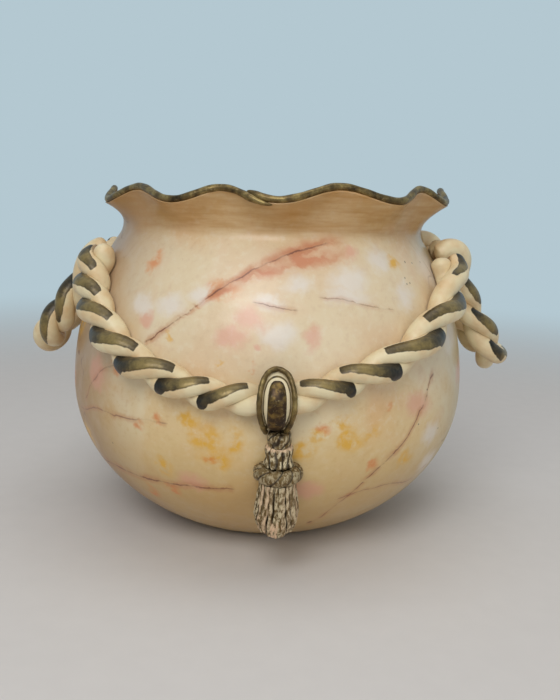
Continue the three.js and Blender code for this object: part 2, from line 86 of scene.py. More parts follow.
def spline(points: np.ndarray, shares: np.ndarray) -> np.ndarray:
    """Centripetal Catmull-Rom curve through points.

    Args:
        points: The points that the curve passes, one row each.
        shares: Where to read the curve, from 0 at the first point to 1 at the last.

    Returns:
        One point of the curve for each share.
    """
    points = np.asarray(points, float)
    full = np.vstack([2 * points[0] - points[1], points, 2 * points[-1] - points[-2]])
    place = np.clip(shares, 0, 1) * (len(points) - 1)
    i = np.minimum(place.astype(int), len(points) - 2)
    p0, p1, p2, p3 = full[i], full[i + 1], full[i + 2], full[i + 3]
    step = [np.maximum(np.sqrt(np.linalg.norm(b - a, axis=1)), 1e-4)[:, None]
            for a, b in ((p0, p1), (p1, p2), (p2, p3))]
    m1 = ((p1 - p0) / step[0] - (p2 - p0) / (step[0] + step[1]) + (p2 - p1) / step[1]) * step[1]
    m2 = ((p2 - p1) / step[1] - (p3 - p1) / (step[1] + step[2]) + (p3 - p2) / step[2]) * step[1]
    t = (place - i)[:, None]
    return (p1 + m1 * t + (-3 * p1 + 3 * p2 - 2 * m1 - m2) * t ** 2
            + (2 * p1 - 2 * p2 + m1 + m2) * t ** 3)


def evenly(points: np.ndarray, count: int) -> np.ndarray:
    """Reads a smooth curve through points at even distances along it.

    Args:
        points: The points that the curve passes.
        count: How many points to return.

    Returns:
        The evenly spaced points.
    """
    fine = spline(points, np.linspace(0, 1, 60 * len(points)))
    length = np.concatenate([[0], np.cumsum(np.linalg.norm(np.diff(fine, axis=0), axis=1))])
    at = np.linspace(0, length[-1], count)
    return np.stack([np.interp(at, length, fine[:, k]) for k in range(fine.shape[1])], 1)


def directions(path: np.ndarray) -> np.ndarray:
    """Unit directions along a path."""
    return unit(np.gradient(path, axis=0))


def carried_frame(path: np.ndarray) -> tuple[np.ndarray, np.ndarray]:
    """Two directions across a path at each point, carried along it without twist.

    Args:
        path: Points of the path.

    Returns:
        The two families of unit vectors.
    """
    along = directions(path)
    side = np.array([0.0, 0.0, 1.0])
    if abs(along[0] @ side) > 0.9:
        side = np.array([1.0, 0.0, 0.0])
    sides = np.empty_like(path)
    for i, direction in enumerate(along):
        side = side - (side @ direction) * direction
        side = side / np.linalg.norm(side)
        sides[i] = side
    return sides, np.cross(along, sides)


def hash_noise(count: int, seed: int) -> np.ndarray:
    """Seeded even random numbers from 0 to 1."""
    return np.random.default_rng(seed).random(count)


def make_mesh(name: str, rings: np.ndarray | list[np.ndarray], wrap: bool = False, caps: bool = True,
              marks: dict[str, object] | None = None) -> bpy.types.Object:
    """Skins rings of points as one smooth object and links it to the scene.

    Args:
        name: Name of the object.
        rings: Points in millimetres, shaped (rings, points of a ring, 3), or a list of such forms.
        wrap: Whether the last ring joins the first one.
        caps: Whether the first and the last ring are closed.
        marks: Values for each point, kept as float attributes for the materials. A list of forms
            takes a list of values.

    Returns:
        The new object.
    """
    forms = rings if isinstance(rings, list) else [rings]
    marks = {key: value if isinstance(rings, list) else [value] for key, value in (marks or {}).items()}
    points, faces, values = [], [], {key: [] for key in marks}
    first = 0
    for index, form in enumerate(forms):
        n, m = form.shape[:2]
        spot = form.reshape(-1, 3)
        i = np.arange(n if wrap else n - 1)[:, None]
        j = np.arange(m)[None, :]
        after, k = (i + 1) % n, (j + 1) % m
        quads = np.stack([i * m + j, i * m + k, after * m + k, after * m + j], -1).reshape(-1, 4)
        a, b, c, d = (spot[quads[:, q]] for q in range(4))
        volume = (a * (np.cross(b, c) + np.cross(c, d))).sum()
        own = quads.tolist()
        for key in marks:
            value = np.broadcast_to(marks[key][index], (n, m)).reshape(-1)
            ends = [value[:m].mean(), value[-m:].mean()] if caps and not wrap else []
            values[key].append(np.concatenate([value, ends]))
        if caps and not wrap:
            spot = np.vstack([spot, form[0].mean(0), form[-1].mean(0)])
            last = (n - 1) * m
            for q in range(m):
                r = (q + 1) % m
                own += [[n * m, r, q], [n * m + 1, last + q, last + r]]
        faces += [[first + p for p in (face[::-1] if volume < 0 else face)] for face in own]
        points.append(spot)
        first += len(spot)
    mesh = bpy.data.meshes.new(name)
    mesh.from_pydata((np.vstack(points) * MM).tolist(), [], faces)
    for key, value in values.items():
        data = np.concatenate(value).astype(np.float32)
        mesh.attributes.new(key, "FLOAT", "POINT").data.foreach_set("value", data)
    mesh.shade_smooth()
    mesh.update()
    piece = bpy.data.objects.new(name, mesh)
    bpy.context.scene.collection.objects.link(piece)
    return piece


def tube(path: np.ndarray, radii: np.ndarray, sides: int = 24) -> np.ndarray:
    """Round tube about a path, closed to rounded tips where the radius goes to 0.

    Args:
        path: Points of the middle line.
        radii: Radius at each point.
        sides: Points of each ring.

    Returns:
        Rings of points.
    """
    side, other = carried_frame(path)
    turn = np.linspace(0, 2 * np.pi, sides, endpoint=False)
    across = side[:, None] * np.cos(turn)[:, None] + other[:, None] * np.sin(turn)[:, None]
    return path[:, None] + across * np.asarray(radii)[:, None, None]


def half_turn(rings: np.ndarray, face: Face) -> np.ndarray:
    """Turns points of the front face to the wanted face of the pot."""
    return rings * np.array([-1, -1, 1]) if face is Face.BACK else rings


def finish_piece(piece: bpy.types.Object, material: bpy.types.Material, slot: str, *nodes: str) -> None:
    """Gives a piece its material, body and CAD nodes, and reports it.

    Args:
        piece: The piece.
        material: Its material.
        slot: Material slot of the record; not used.
        *nodes: CAD nodes that the piece stands for.
    """
    piece.data.materials.append(material)
    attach(piece, "root")
    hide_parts(*nodes)
    log.info("%s: %d faces, %s", piece.name, len(piece.data.polygons), material.name)


# The pot


@dataclass(frozen=True)
class Wall:
    """Outer face of the belly: one half axis below its widest ring and another above it."""

    belly: float = 145.0
    lower: float = 115.0
    upper: float = 167.0
    base: float = 62.0
    neck: float = 109.0

    @property
    def widest(self) -> float:
        """Height of the widest ring."""
        return self.lower * math.sqrt(1 - (self.base / self.belly) ** 2)

    @property
    def neck_height(self) -> float:
        """Height of the crease under the neck."""
        return self.widest + self.upper * math.sqrt(1 - (self.neck / self.belly) ** 2)

    def reach(self, z: np.ndarray) -> np.ndarray:
        """Half axis of the curve at a height."""
        return np.where(np.asarray(z) > self.widest, self.upper, self.lower)

    def radius(self, z: np.ndarray) -> np.ndarray:
        """Outer radius at a height."""
        rise = (np.asarray(z, float) - self.widest) / self.reach(z)
        return self.belly * np.sqrt(np.maximum(0, 1 - rise ** 2))

    def off(self, points: np.ndarray) -> tuple[np.ndarray, np.ndarray]:
        """Distance of points from the face and the way straight out of it.

        Args:
            points: Points, with the last axis for x, y and z.

        Returns:
            The distances and the unit normals.
        """
        reach = self.reach(points[..., 2])
        rise = points[..., 2] - self.widest
        k = np.hypot(np.hypot(points[..., 0], points[..., 1]) / self.belly, rise / reach)
        out = np.stack([points[..., 0] / self.belly ** 2, points[..., 1] / self.belly ** 2,
                        rise / reach ** 2], -1)
        slope = np.linalg.norm(out, axis=-1) / k
        return (k - 1) / slope, unit(out)

    def press(self, points: np.ndarray, clearance: float = 0.3) -> np.ndarray:
        """Moves points that are nearer than the clearance out of the wall."""
        points = points.copy()
        for _ in range(3):
            distance, out = self.off(points)
            points += out * np.maximum(0, clearance - distance)[..., None]
        return points

    def over(self, degrees: np.ndarray, z: np.ndarray, distance: np.ndarray) -> np.ndarray:
        """Points over the wall at angles from the front, heights and distances out."""
        degrees, z, distance = np.broadcast_arrays(degrees, z, distance)
        turn = np.radians(degrees)
        points = np.stack([self.radius(z) * np.sin(turn), -self.radius(z) * np.cos(turn), z], -1)
        return points + self.off(points)[1] * distance[..., None]


WALL = Wall()




# Finishes


def linear(code: str) -> tuple[float, float, float, float]:
    """Turns an sRGB hex colour to linear red, green, blue and alpha."""
    parts = [int(code[i:i + 2], 16) / 255 for i in (1, 3, 5)]
    low = [c / 12.92 if c <= 0.04045 else ((c + 0.055) / 1.055) ** 2.4 for c in parts]
    return (*low, 1.0)


def add_node(tree: bpy.types.NodeTree, kind: str, inputs: dict | None = None,
             stops: list[tuple[float, str]] | None = None,
             points: list[tuple[float, float]] | None = None, **settings: object) -> bpy.types.Node:
    """Adds a shader node with its settings, values and links.

    Args:
        tree: Node tree that the node joins.
        kind: Type of the node without its ShaderNode prefix.
        inputs: Value, socket or node for each input, by name or by place among the inputs in use.
        stops: Places and colours of a colour ramp.
        points: Points of a float curve.
        **settings: Properties of the node.

    Returns:
        The new node.
    """
    node = tree.nodes.new("ShaderNode" + kind)
    for key, value in settings.items():
        setattr(node, key, value)
    if stops:
        elements = node.color_ramp.elements
        while len(elements) < len(stops):
            elements.new(0.5)
        for element, (place, colour) in zip(elements, stops):
            element.position, element.color = place, linear(colour)
    if points:
        curve = node.mapping.curves[0]
        while len(curve.points) < len(points):
            curve.points.new(0.5, 0.5)
        for point, place in zip(curve.points, points):
            point.location = place
        node.mapping.update()
    sockets = [socket for socket in node.inputs if socket.enabled]
    for key, value in (inputs or {}).items():
        socket = sockets[key] if isinstance(key, int) else next(s for s in sockets if s.name == key)
        if isinstance(value, bpy.types.Node):
            value = next(output for output in value.outputs if output.enabled)
        if isinstance(value, bpy.types.NodeSocket):
            tree.links.new(value, socket)
        else:
            socket.default_value = value
    return node


def place_in_mm(tree: bpy.types.NodeTree) -> bpy.types.Node:
    """Gives the place on the object in millimetres."""
    return add_node(tree, "VectorMath", {0: add_node(tree, "TexCoord").outputs["Object"], "Scale": 1 / MM},
                    operation="SCALE")


def new_material(name: str) -> tuple[bpy.types.Material, bpy.types.NodeTree]:
    """Makes an empty node material."""
    material = bpy.data.materials.new(name)
    material.use_nodes = True
    material.node_tree.nodes.clear()
    return material, material.node_tree


@dataclass(frozen=True)
class Blotch:
    """Dab of one colour: angle from the front, height, size in millimetres and width to height."""

    degrees: float
    height: float
    size: float
    wide: float = 1.0


@dataclass(frozen=True)
class Vein:
    """Hairline of the marbling through places given by angle from the front and height."""

    places: tuple[tuple[float, float], ...]
    width: float
    strength: float


@dataclass(frozen=True)
class MarbledGlaze:
    """Earthenware, sponged and veined in peach, ochre, salmon and white under a satin glaze.

    The clear glaze gives the eye soft wide highlights over colours that lie under the surface.
    """

    base: str = "#E3C89C"
    peach: str = "#DFB786"
    pale: str = "#EBDDBE"
    haze_and_reflection: str = "#E8E1DA"
    # The neck tone is ochre together with painted shade from under the flared lip
    neck: str = "#AE7D3A"
    pooled: str = "#DBBC7A"
    shoulder: str = "#E0D4BA"
    salmon: str = "#CB8259"
    pink: str = "#DE9C86"
    yellow: str = "#DFA82A"
    orange: str = "#D9813F"
    vein: str = "#6E3A1E"
    stain: str = "#B87142"
    # The foot tone is painted shade towards the bottom of the belly
    foot: str = "#A0702A"
    left_ochre: str = "#8E5C20"
    right_olive: str = "#8A8052"
    pit: str = "#5B4638"
    rosy: str = "#E0AE8B"
    ochre: str = "#D3A75E"
    sponged: str = "#EBDCC2"
    stippled: str = "#C99A6C"
    inner: str = "#C9A578"
    reach: float = 90.0
    top: float = 250.0
    # Angles in degrees from the front between which each side turns to a darker tone
    left_turn: tuple[float, float] = (-30.0, -66.0)
    right_turn: tuple[float, float] = (42.0, 74.0)
    # Heights in millimetres between which the glaze pools, and between which painted shade darkens it to the
    # foot
    pooling: tuple[float, float] = (150.0, 60.0)
    painted_foot_shade: tuple[float, float] = (92.0, 34.0)
    # Added to arc and height on the back, so its marbling is the front's mirror image moved 34 mm
    # towards the right handle and 24 mm down
    back_slide: tuple[float, float, float] = (-34.0, 24.0, 0.0)
    main_vein: Vein = Vein(((-34.6, 147.3), (-30.9, 153.1), (-23.2, 167.2), (-17.0, 179.2), (-10.6, 189.2),
                            (-3.8, 197.4), (3.6, 204.2), (10.0, 208.1), (14.8, 210.0)), 0.8, 0.85)
    veins: tuple[Vein, ...] = (
        Vein(((15.2, 25), (20.4, 41.2), (25.4, 57.9), (29.4, 69.7), (33, 77.8), (36.5, 87), (40, 100.6),
              (44.4, 116.3), (46.4, 126.7)), 1.2, 0.75),
        Vein(((20.6, 48.6), (28.3, 52.6), (38, 52.7), (51.2, 49.6), (55.4, 57.6)), 0.6, 0.45),
        Vein(((-68.5, 51.8), (-51.6, 55), (-38.8, 54.7), (-29.5, 55.1), (-19.9, 56.3), (-11.3, 57.5)),
             0.9, 0.75),
        Vein(((-65.8, 89.3), (-51.4, 96.9), (-42.4, 96.2), (-33.5, 98.9), (-28.1, 98.5)), 0.7, 0.6),
        Vein(((-5.4, 174.7), (-2, 173.8), (1.4, 172.3), (4.2, 170.7)), 0.55, 0.55),
        Vein(((-60.3, 99.7), (-57.2, 110.3), (-52.7, 119.8), (-46.3, 127.8)), 0.8, 0.5),
        Vein(((11.9, 178.4), (18.5, 176.6), (25.9, 173.3), (33.3, 170.9)), 0.55, 0.4),
    )
    # White dabs: near the front of the shoulder painted reflections of soft glare, elsewhere white haze of
    # the marbling
    haze_and_reflection_dabs: tuple[Blotch, ...] = (
        Blotch(20, 178.5, 10, 2.4), Blotch(40, 178.5, 9, 1.7), Blotch(33, 198, 11, 1.6),
        Blotch(21, 188, 12, 2.0), Blotch(6, 185.5, 9, 1.8), Blotch(-19.5, 178, 9, 1.6),
        Blotch(-29, 170.5, 12, 1.5), Blotch(-2, 177, 8, 1.6), Blotch(0, 157, 12, 1.5),
        Blotch(48, 86, 12, 1.4), Blotch(55, 60, 14, 1.4), Blotch(60, 190, 22, 1.3),
        Blotch(62, 152, 18, 1.4), Blotch(-38, 168, 10, 1.4),
    )
    pink_dabs: tuple[Blotch, ...] = (
        Blotch(-5.3, 147.6, 4), Blotch(9.6, 157, 8, 1.4), Blotch(-36, 158.5, 8, 1.3),
        Blotch(-12, 152.5, 12, 1.3), Blotch(-7, 164.7, 11, 1.3), Blotch(22.9, 203.7, 8, 1.4),
        Blotch(-54, 119, 14, 1.3), Blotch(40, 110, 14, 1.4), Blotch(-22, 60, 10, 1.5),
        Blotch(10, 60, 11, 1.5), Blotch(70, 120, 16, 1.4),
    )
    yellow_dabs: tuple[Blotch, ...] = (
        Blotch(-17, 94.5, 10, 1.2), Blotch(-13.7, 84, 13, 1.1), Blotch(-9.4, 94.8, 9),
        Blotch(17.3, 102.5, 8, 1.2), Blotch(18.9, 92.5, 10, 1.3), Blotch(11.1, 93.7, 8),
        Blotch(24.3, 96.5, 8, 1.2), Blotch(8, 83.6, 8, 1.6), Blotch(-20.6, 103, 8, 1.2),
        Blotch(-27.6, 149.7, 4.5), Blotch(-14.4, 136.4, 4), Blotch(-30, 68, 9, 1.3), Blotch(38, 70, 9, 1.3),
        Blotch(-66, 70, 12, 1.3), Blotch(72, 80, 14, 1.3), Blotch(-72, 150, 12, 1.3), Blotch(40, 196, 7, 1.3),
    )
    orange_dabs: tuple[Blotch, ...] = (
        Blotch(-15.5, 82, 6), Blotch(12.2, 98.7, 7), Blotch(26.3, 73.1, 6), Blotch(-30.4, 99.5, 7),
        Blotch(-36.9, 94.8, 7), Blotch(-39, 47, 8, 1.3), Blotch(-28.5, 51.6, 7, 1.3), Blotch(-6.3, 135.8, 4),
        Blotch(-45, 128, 6, 1.3), Blotch(-13, 181.5, 9, 2.2), Blotch(30, 110, 5), Blotch(75, 180, 10),
        Blotch(-76, 110, 12), Blotch(-40, 195, 9, 1.4),
    )
    pits: tuple[Blotch, ...] = (
        Blotch(45.4, 199, 1.1), Blotch(49.3, 198.1, 0.9), Blotch(42.2, 189.2, 0.9), Blotch(42.2, 185.4, 0.9),
        Blotch(43.8, 185.9, 0.9), Blotch(55.3, 198.4, 0.8), Blotch(44, 118, 1.0), Blotch(41, 96, 0.9),
        Blotch(-24, 120, 0.9), Blotch(52, 88, 0.9), Blotch(-48, 75, 0.8),
    )

    def union(self, tree: bpy.types.NodeTree, place: bpy.types.Node,
              dabs: tuple[Blotch, ...]) -> bpy.types.Node:
        """Soft mask that covers a set of dabs.

        Args:
            tree: Node tree.
            place: Arc length and height in millimetres, warped by noise.
            dabs: The dabs.

        Returns:
            Node whose value goes from 0 to 1.
        """
        mask = None
        per_degree = math.pi * WALL.belly / 180
        for dab in dabs:
            back = (-dab.degrees * per_degree / dab.wide, -dab.height, 0)
            far = add_node(tree, "VectorMath", {0: place, 1: (1 / dab.wide, 1, 0), 2: back},
                           operation="MULTIPLY_ADD")
            far = add_node(tree, "VectorMath", {0: far}, operation="LENGTH")
            soft = add_node(tree, "MapRange", {"Value": far, "From Min": dab.size,
                                               "From Max": dab.size * 0.2},
                            interpolation_type="SMOOTHSTEP")
            mask = soft if mask is None else add_node(tree, "Math", {0: mask, 1: soft}, operation="MAXIMUM")
        return mask

    def band(self, tree: bpy.types.NodeTree, value: object, low: float, high: float,
             fade: float) -> bpy.types.Node:
        """1 between two values of an input, fading out over a distance beyond them."""
        rise = add_node(tree, "MapRange", {"Value": value, "From Min": low - fade, "From Max": low},
                        interpolation_type="SMOOTHSTEP")
        fall = add_node(tree, "MapRange", {"Value": value, "From Min": high + fade, "From Max": high},
                        interpolation_type="SMOOTHSTEP")
        return add_node(tree, "Math", {0: rise, 1: fall}, operation="MULTIPLY")

    def below(self, tree: bpy.types.NodeTree, degrees: bpy.types.Node, height: bpy.types.Node,
              vein: Vein) -> bpy.types.Node:
        """How far a point is below a vein, in millimetres."""
        share = add_node(tree, "MapRange", {"Value": degrees, "From Min": -self.reach,
                                            "From Max": self.reach})
        points = [((a + self.reach) / (2 * self.reach), z / self.top) for a, z in vein.places]
        points = [(0.0, points[0][1])] + points + [(1.0, points[-1][1])]
        curve = add_node(tree, "FloatCurve", {"Value": share}, points=points)
        return add_node(tree, "Math", {0: curve, 1: self.top, 2: add_node(
            tree, "Math", {0: height, 1: -1.0}, operation="MULTIPLY")}, operation="MULTIPLY_ADD")

    def over(self, tree: bpy.types.NodeTree, under: object, mask: object, colour: str, amount: float,
             blend: str = "MIX") -> bpy.types.Node:
        """Lays a colour over another where a mask says so."""
        factor = add_node(tree, "Math", {0: mask, 1: amount}, operation="MULTIPLY", use_clamp=True)
        return add_node(tree, "Mix", {"Factor": factor, "A": under, "B": linear(colour)},
                        data_type="RGBA", blend_type=blend)

    def build(self) -> bpy.types.Material:
        """Paints the marbling by angle from the front and height, mirrored and slid on the back."""
        material, tree = new_material("glazed_earthenware_marbled")
        add = partial(add_node, tree)
        place = place_in_mm(tree)
        parts = add("SeparateXYZ", {0: place})
        flat = add("VectorMath", {0: place, 1: (1.0, 1.0, 0.0)}, operation="MULTIPLY")
        round_ = add("VectorMath", {0: flat}, operation="LENGTH")
        sine = add("Math", {0: parts.outputs["X"], 1: round_}, operation="DIVIDE")
        turn = add("Math", {0: sine}, operation="ARCSINE")
        slow = add("TexNoise", {"Vector": place, "Scale": 1 / 45, "Detail": 2.0})
        fine = add("TexNoise", {"Vector": place, "Scale": 1 / 9, "Detail": 3.0, "Roughness": 0.6})
        arc = add("Math", {0: turn, 1: WALL.belly}, operation="MULTIPLY")
        sheet = add("CombineXYZ", {0: arc, 1: parts.outputs["Z"]})
        back = add("MapRange", {"Value": parts.outputs["Y"], "From Min": -20.0, "From Max": 60.0},
                   interpolation_type="SMOOTHSTEP")
        slid = add("VectorMath", {0: back, 1: self.back_slide}, operation="MULTIPLY")
        sheet = add("VectorMath", {0: sheet, 1: slid}, operation="ADD")
        shift_slow = add("VectorMath", {0: slow.outputs["Color"], 1: (0.5, 0.5, 0.5)}, operation="SUBTRACT")
        shift_fine = add("VectorMath", {0: fine.outputs["Color"], 1: (0.5, 0.5, 0.5)}, operation="SUBTRACT")
        bent = add("VectorMath", {0: shift_slow, 1: (22.0, 22.0, 0.0), 2: sheet}, operation="MULTIPLY_ADD")
        bent = add("VectorMath", {0: shift_fine, 1: (14.0, 14.0, 0.0), 2: bent}, operation="MULTIPLY_ADD")
        drawn = add("VectorMath", {0: shift_slow, 1: (5.0, 5.0, 0.0), 2: sheet}, operation="MULTIPLY_ADD")
        drawn = add("VectorMath", {0: shift_fine, 1: (3.5, 3.5, 0.0), 2: drawn}, operation="MULTIPLY_ADD")
        bent_height = add("SeparateXYZ", {0: bent}).outputs["Y"]
        line = add("SeparateXYZ", {0: drawn})
        degrees = add("Math", {0: line.outputs["X"], 1: 180 / (math.pi * WALL.belly)}, operation="MULTIPLY")
        height = line.outputs["Y"]

        # Ground: peach and pale clouds, then fine sponging
        cloud = add("TexNoise", {"Vector": place, "Scale": 1 / 70, "Detail": 3.0, "Distortion": 0.4})
        colour = add("ValToRGB", {0: cloud.outputs[0]}, stops=[
            (0.34, self.peach), (0.47, self.base), (0.56, self.base), (0.68, self.pale)])
        blush = add("TexNoise", {"Vector": place, "Scale": 1 / 32, "Detail": 4.0, "Distortion": 0.8})
        blush_mask = add("MapRange", {"Value": blush.outputs[0], "From Min": 0.56, "From Max": 0.72})
        colour = self.over(tree, colour, blush_mask, self.rosy, 0.32)
        ochre = add("TexNoise", {"Vector": bent, "Scale": 1 / 28, "Detail": 4.0, "Distortion": 0.6})
        ochre_mask = add("MapRange", {"Value": ochre.outputs[0], "From Min": 0.58, "From Max": 0.74})
        colour = self.over(tree, colour, ochre_mask, self.ochre, 0.5)
        sponge = add("TexNoise", {"Vector": place, "Scale": 1 / 5, "Detail": 5.0, "Roughness": 0.62})
        sponge_mask = add("MapRange", {"Value": sponge.outputs[0], "From Min": 0.53, "From Max": 0.66})
        colour = self.over(tree, colour, sponge_mask, self.sponged, 0.38)
        stipple = add("MapRange", {"Value": sponge.outputs[0], "From Min": 0.46, "From Max": 0.34})
        colour = self.over(tree, colour, stipple, self.stippled, 0.30)

        # Glaze runs thicker and more ochre towards the foot, and paler on the shoulder
        low = add("MapRange", {"Value": bent_height, "From Min": self.pooling[0],
                               "From Max": self.pooling[1]},
                  interpolation_type="SMOOTHSTEP")
        colour = self.over(tree, colour, low, self.pooled, 0.62)
        high = self.band(tree, bent_height, 140.0, 196.0, 30.0)
        colour = self.over(tree, colour, high, self.shoulder, 0.42)

        # Darker to ochre on the left side and to olive on the right, by angle from the front
        turned = add("Math", {0: turn, 1: 180 / math.pi}, operation="MULTIPLY")
        left = add("MapRange", {"Value": turned, "From Min": self.left_turn[0],
                                "From Max": self.left_turn[1]},
                   interpolation_type="SMOOTHSTEP")
        colour = self.over(tree, colour, left, self.left_ochre, 0.68)
        right = add("MapRange", {"Value": turned, "From Min": self.right_turn[0],
                                 "From Max": self.right_turn[1]},
                    interpolation_type="SMOOTHSTEP")
        colour = self.over(tree, colour, right, self.right_olive, 0.42)

        # Painted shade: the belly darkens towards the foot as it turns under
        foot = add("MapRange", {"Value": bent_height, "From Min": self.painted_foot_shade[0],
                                "From Max": self.painted_foot_shade[1]},
                   interpolation_type="SMOOTHSTEP")
        colour = self.over(tree, colour, foot, self.foot, 0.42)

        # Dabs of white, pink, yellow and orange; the white dabs on the shoulder near the front are painted
        # reflections of soft glare, the others white haze of the marbling
        colour = self.over(tree, colour, self.union(tree, bent, self.haze_and_reflection_dabs), self.haze_and_reflection, 0.6)
        colour = self.over(tree, colour, self.union(tree, bent, self.pink_dabs), self.pink, 0.6)
        broken = add("MapRange", {"Value": fine.outputs[0], "From Min": 0.38, "From Max": 0.56})
        yellow = add("Math", {0: self.union(tree, bent, self.yellow_dabs), 1: broken}, operation="MULTIPLY")
        colour = self.over(tree, colour, yellow, self.yellow, 0.88)
        orange = add("Math", {0: self.union(tree, bent, self.orange_dabs), 1: broken}, operation="MULTIPLY")
        colour = self.over(tree, colour, orange, self.orange, 0.75)

        # The long salmon smear under the main vein, streaked along it
        under = self.below(tree, degrees, height, self.main_vein)
        streak = add("VectorMath", {0: bent, 1: (0.35, 1.0, 1.0)}, operation="MULTIPLY")
        tilt = add("VectorRotate", {"Vector": streak, "Angle": math.radians(-30)}, rotation_type="Z_AXIS")
        grain = add("TexNoise", {"Vector": tilt, "Scale": 1 / 7, "Detail": 3.0})
        torn = add("MapRange", {"Value": grain.outputs[0], "From Min": 0.36, "From Max": 0.6})
        widest = add("MapRange", {"Value": degrees, "From Min": -24.0, "From Max": 6.0, "To Min": 2.0,
                                  "To Max": 17.0})
        depth = add("Math", {0: under, 1: widest}, operation="DIVIDE")
        body = self.band(tree, depth, 0.0, 0.45, 0.55)
        along = self.band(tree, degrees, -17.0, 15.0, 11.0)
        smear = add("Math", {0: body, 1: along}, operation="MULTIPLY")
        torn = add("Math", {0: torn, 1: 0.6, 2: 0.4}, operation="MULTIPLY_ADD")
        smear = add("Math", {0: smear, 1: torn}, operation="MULTIPLY")
        colour = self.over(tree, colour, smear, self.salmon, 0.95)

        # Hairline veins, each with a faint stain beside it
        for vein in (self.main_vein, *self.veins):
            off = add("Math", {0: self.below(tree, degrees, height, vein)}, operation="ABSOLUTE")
            ends = [a for a, _ in vein.places]
            window = self.band(tree, degrees, ends[0], ends[-1], 1.5)
            ink = add("MapRange", {"Value": grain.outputs[0], "From Min": 0.38, "From Max": 0.58,
                                   "To Min": 0.12, "To Max": 1.0})
            window = add("Math", {0: window, 1: ink}, operation="MULTIPLY")
            stain = add("MapRange", {"Value": off, "From Min": vein.width * 6, "From Max": 0.0},
                        interpolation_type="SMOOTHSTEP")
            stain = add("Math", {0: stain, 1: window}, operation="MULTIPLY")
            colour = self.over(tree, colour, stain, self.stain, 0.75 * vein.strength)
            hair = add("MapRange", {"Value": off, "From Min": vein.width, "From Max": vein.width * 0.3},
                       interpolation_type="SMOOTHSTEP")
            hair = add("Math", {0: hair, 1: window}, operation="MULTIPLY")
            colour = self.over(tree, colour, hair, self.vein, vein.strength)

        # Stray veins all round, where a slow noise crosses its middle value
        web = add("TexNoise", {"Vector": place, "Scale": 1 / 85, "Detail": 2.0, "Distortion": 0.7})
        ridge = add("Math", {0: web.outputs[0], 1: 0.5}, operation="SUBTRACT")
        ridge = add("Math", {0: ridge}, operation="ABSOLUTE")
        ridge = add("MapRange", {"Value": ridge, "From Min": 0.006, "From Max": 0.0015})
        sides = add("Math", {0: turn}, operation="ABSOLUTE")
        sides = add("MapRange", {"Value": sides, "From Min": math.radians(52), "From Max": math.radians(70)})
        patchy = add("MapRange", {"Value": blush.outputs[0], "From Min": 0.44, "From Max": 0.56})
        stray = add("Math", {0: ridge, 1: sides}, operation="MULTIPLY")
        stray = add("Math", {0: stray, 1: patchy}, operation="MULTIPLY")
        colour = self.over(tree, colour, stray, self.vein, 0.7)
        pits = self.union(tree, sheet, self.pits)
        colour = self.over(tree, colour, pits, self.pit, 0.85)

        # Neck and lip are a darker ochre, brushed round the pot, and darkened further with painted shade from
        # under the flared lip
        brushed = add("VectorMath", {0: place, 1: (0.12, 0.12, 1.0)}, operation="MULTIPLY")
        brush = add("TexNoise", {"Vector": brushed, "Scale": 1 / 3, "Detail": 3.0})
        neck = add("MapRange", {"Value": parts.outputs["Z"], "From Min": WALL.neck_height - 6,
                                "From Max": WALL.neck_height + 6}, interpolation_type="SMOOTHSTEP")
        thin = add("MapRange", {"Value": brush.outputs[0], "From Min": 0.3, "From Max": 0.7,
                                "To Min": 0.6, "To Max": 1.0})
        neck = add("Math", {0: neck, 1: thin}, operation="MULTIPLY")
        colour = self.over(tree, colour, neck, self.neck, 0.84)
        inside = add("Attribute", attribute_name="inside")
        colour = self.over(tree, colour, inside.outputs["Fac"], self.inner, 0.8)

        # Soft unevenness of the wall, then the sponging and the small pits in relief
        swell = add("TexNoise", {"Vector": place, "Scale": 1 / 26, "Detail": 2.0})
        bump = add("Bump", {"Height": swell.outputs[0], "Strength": 0.5, "Distance": 0.0022})
        tooth = add("Math", {0: sponge.outputs[0], 1: pits}, operation="SUBTRACT")
        bump = add("Bump", {"Height": tooth, "Strength": 0.22, "Distance": 0.0006, "Normal": bump})
        gloss = add("MapRange", {"Value": blush.outputs[0], "From Min": 0.35, "From Max": 0.65,
                                 "To Min": 0.30, "To Max": 0.46})
        surface = add("BsdfPrincipled", {"Base Color": colour, "Roughness": gloss, "IOR": 1.5,
                                         "Coat Weight": 0.25, "Coat Roughness": 0.18, "Normal": bump})
        add("OutputMaterial", {"Surface": surface})
        return material


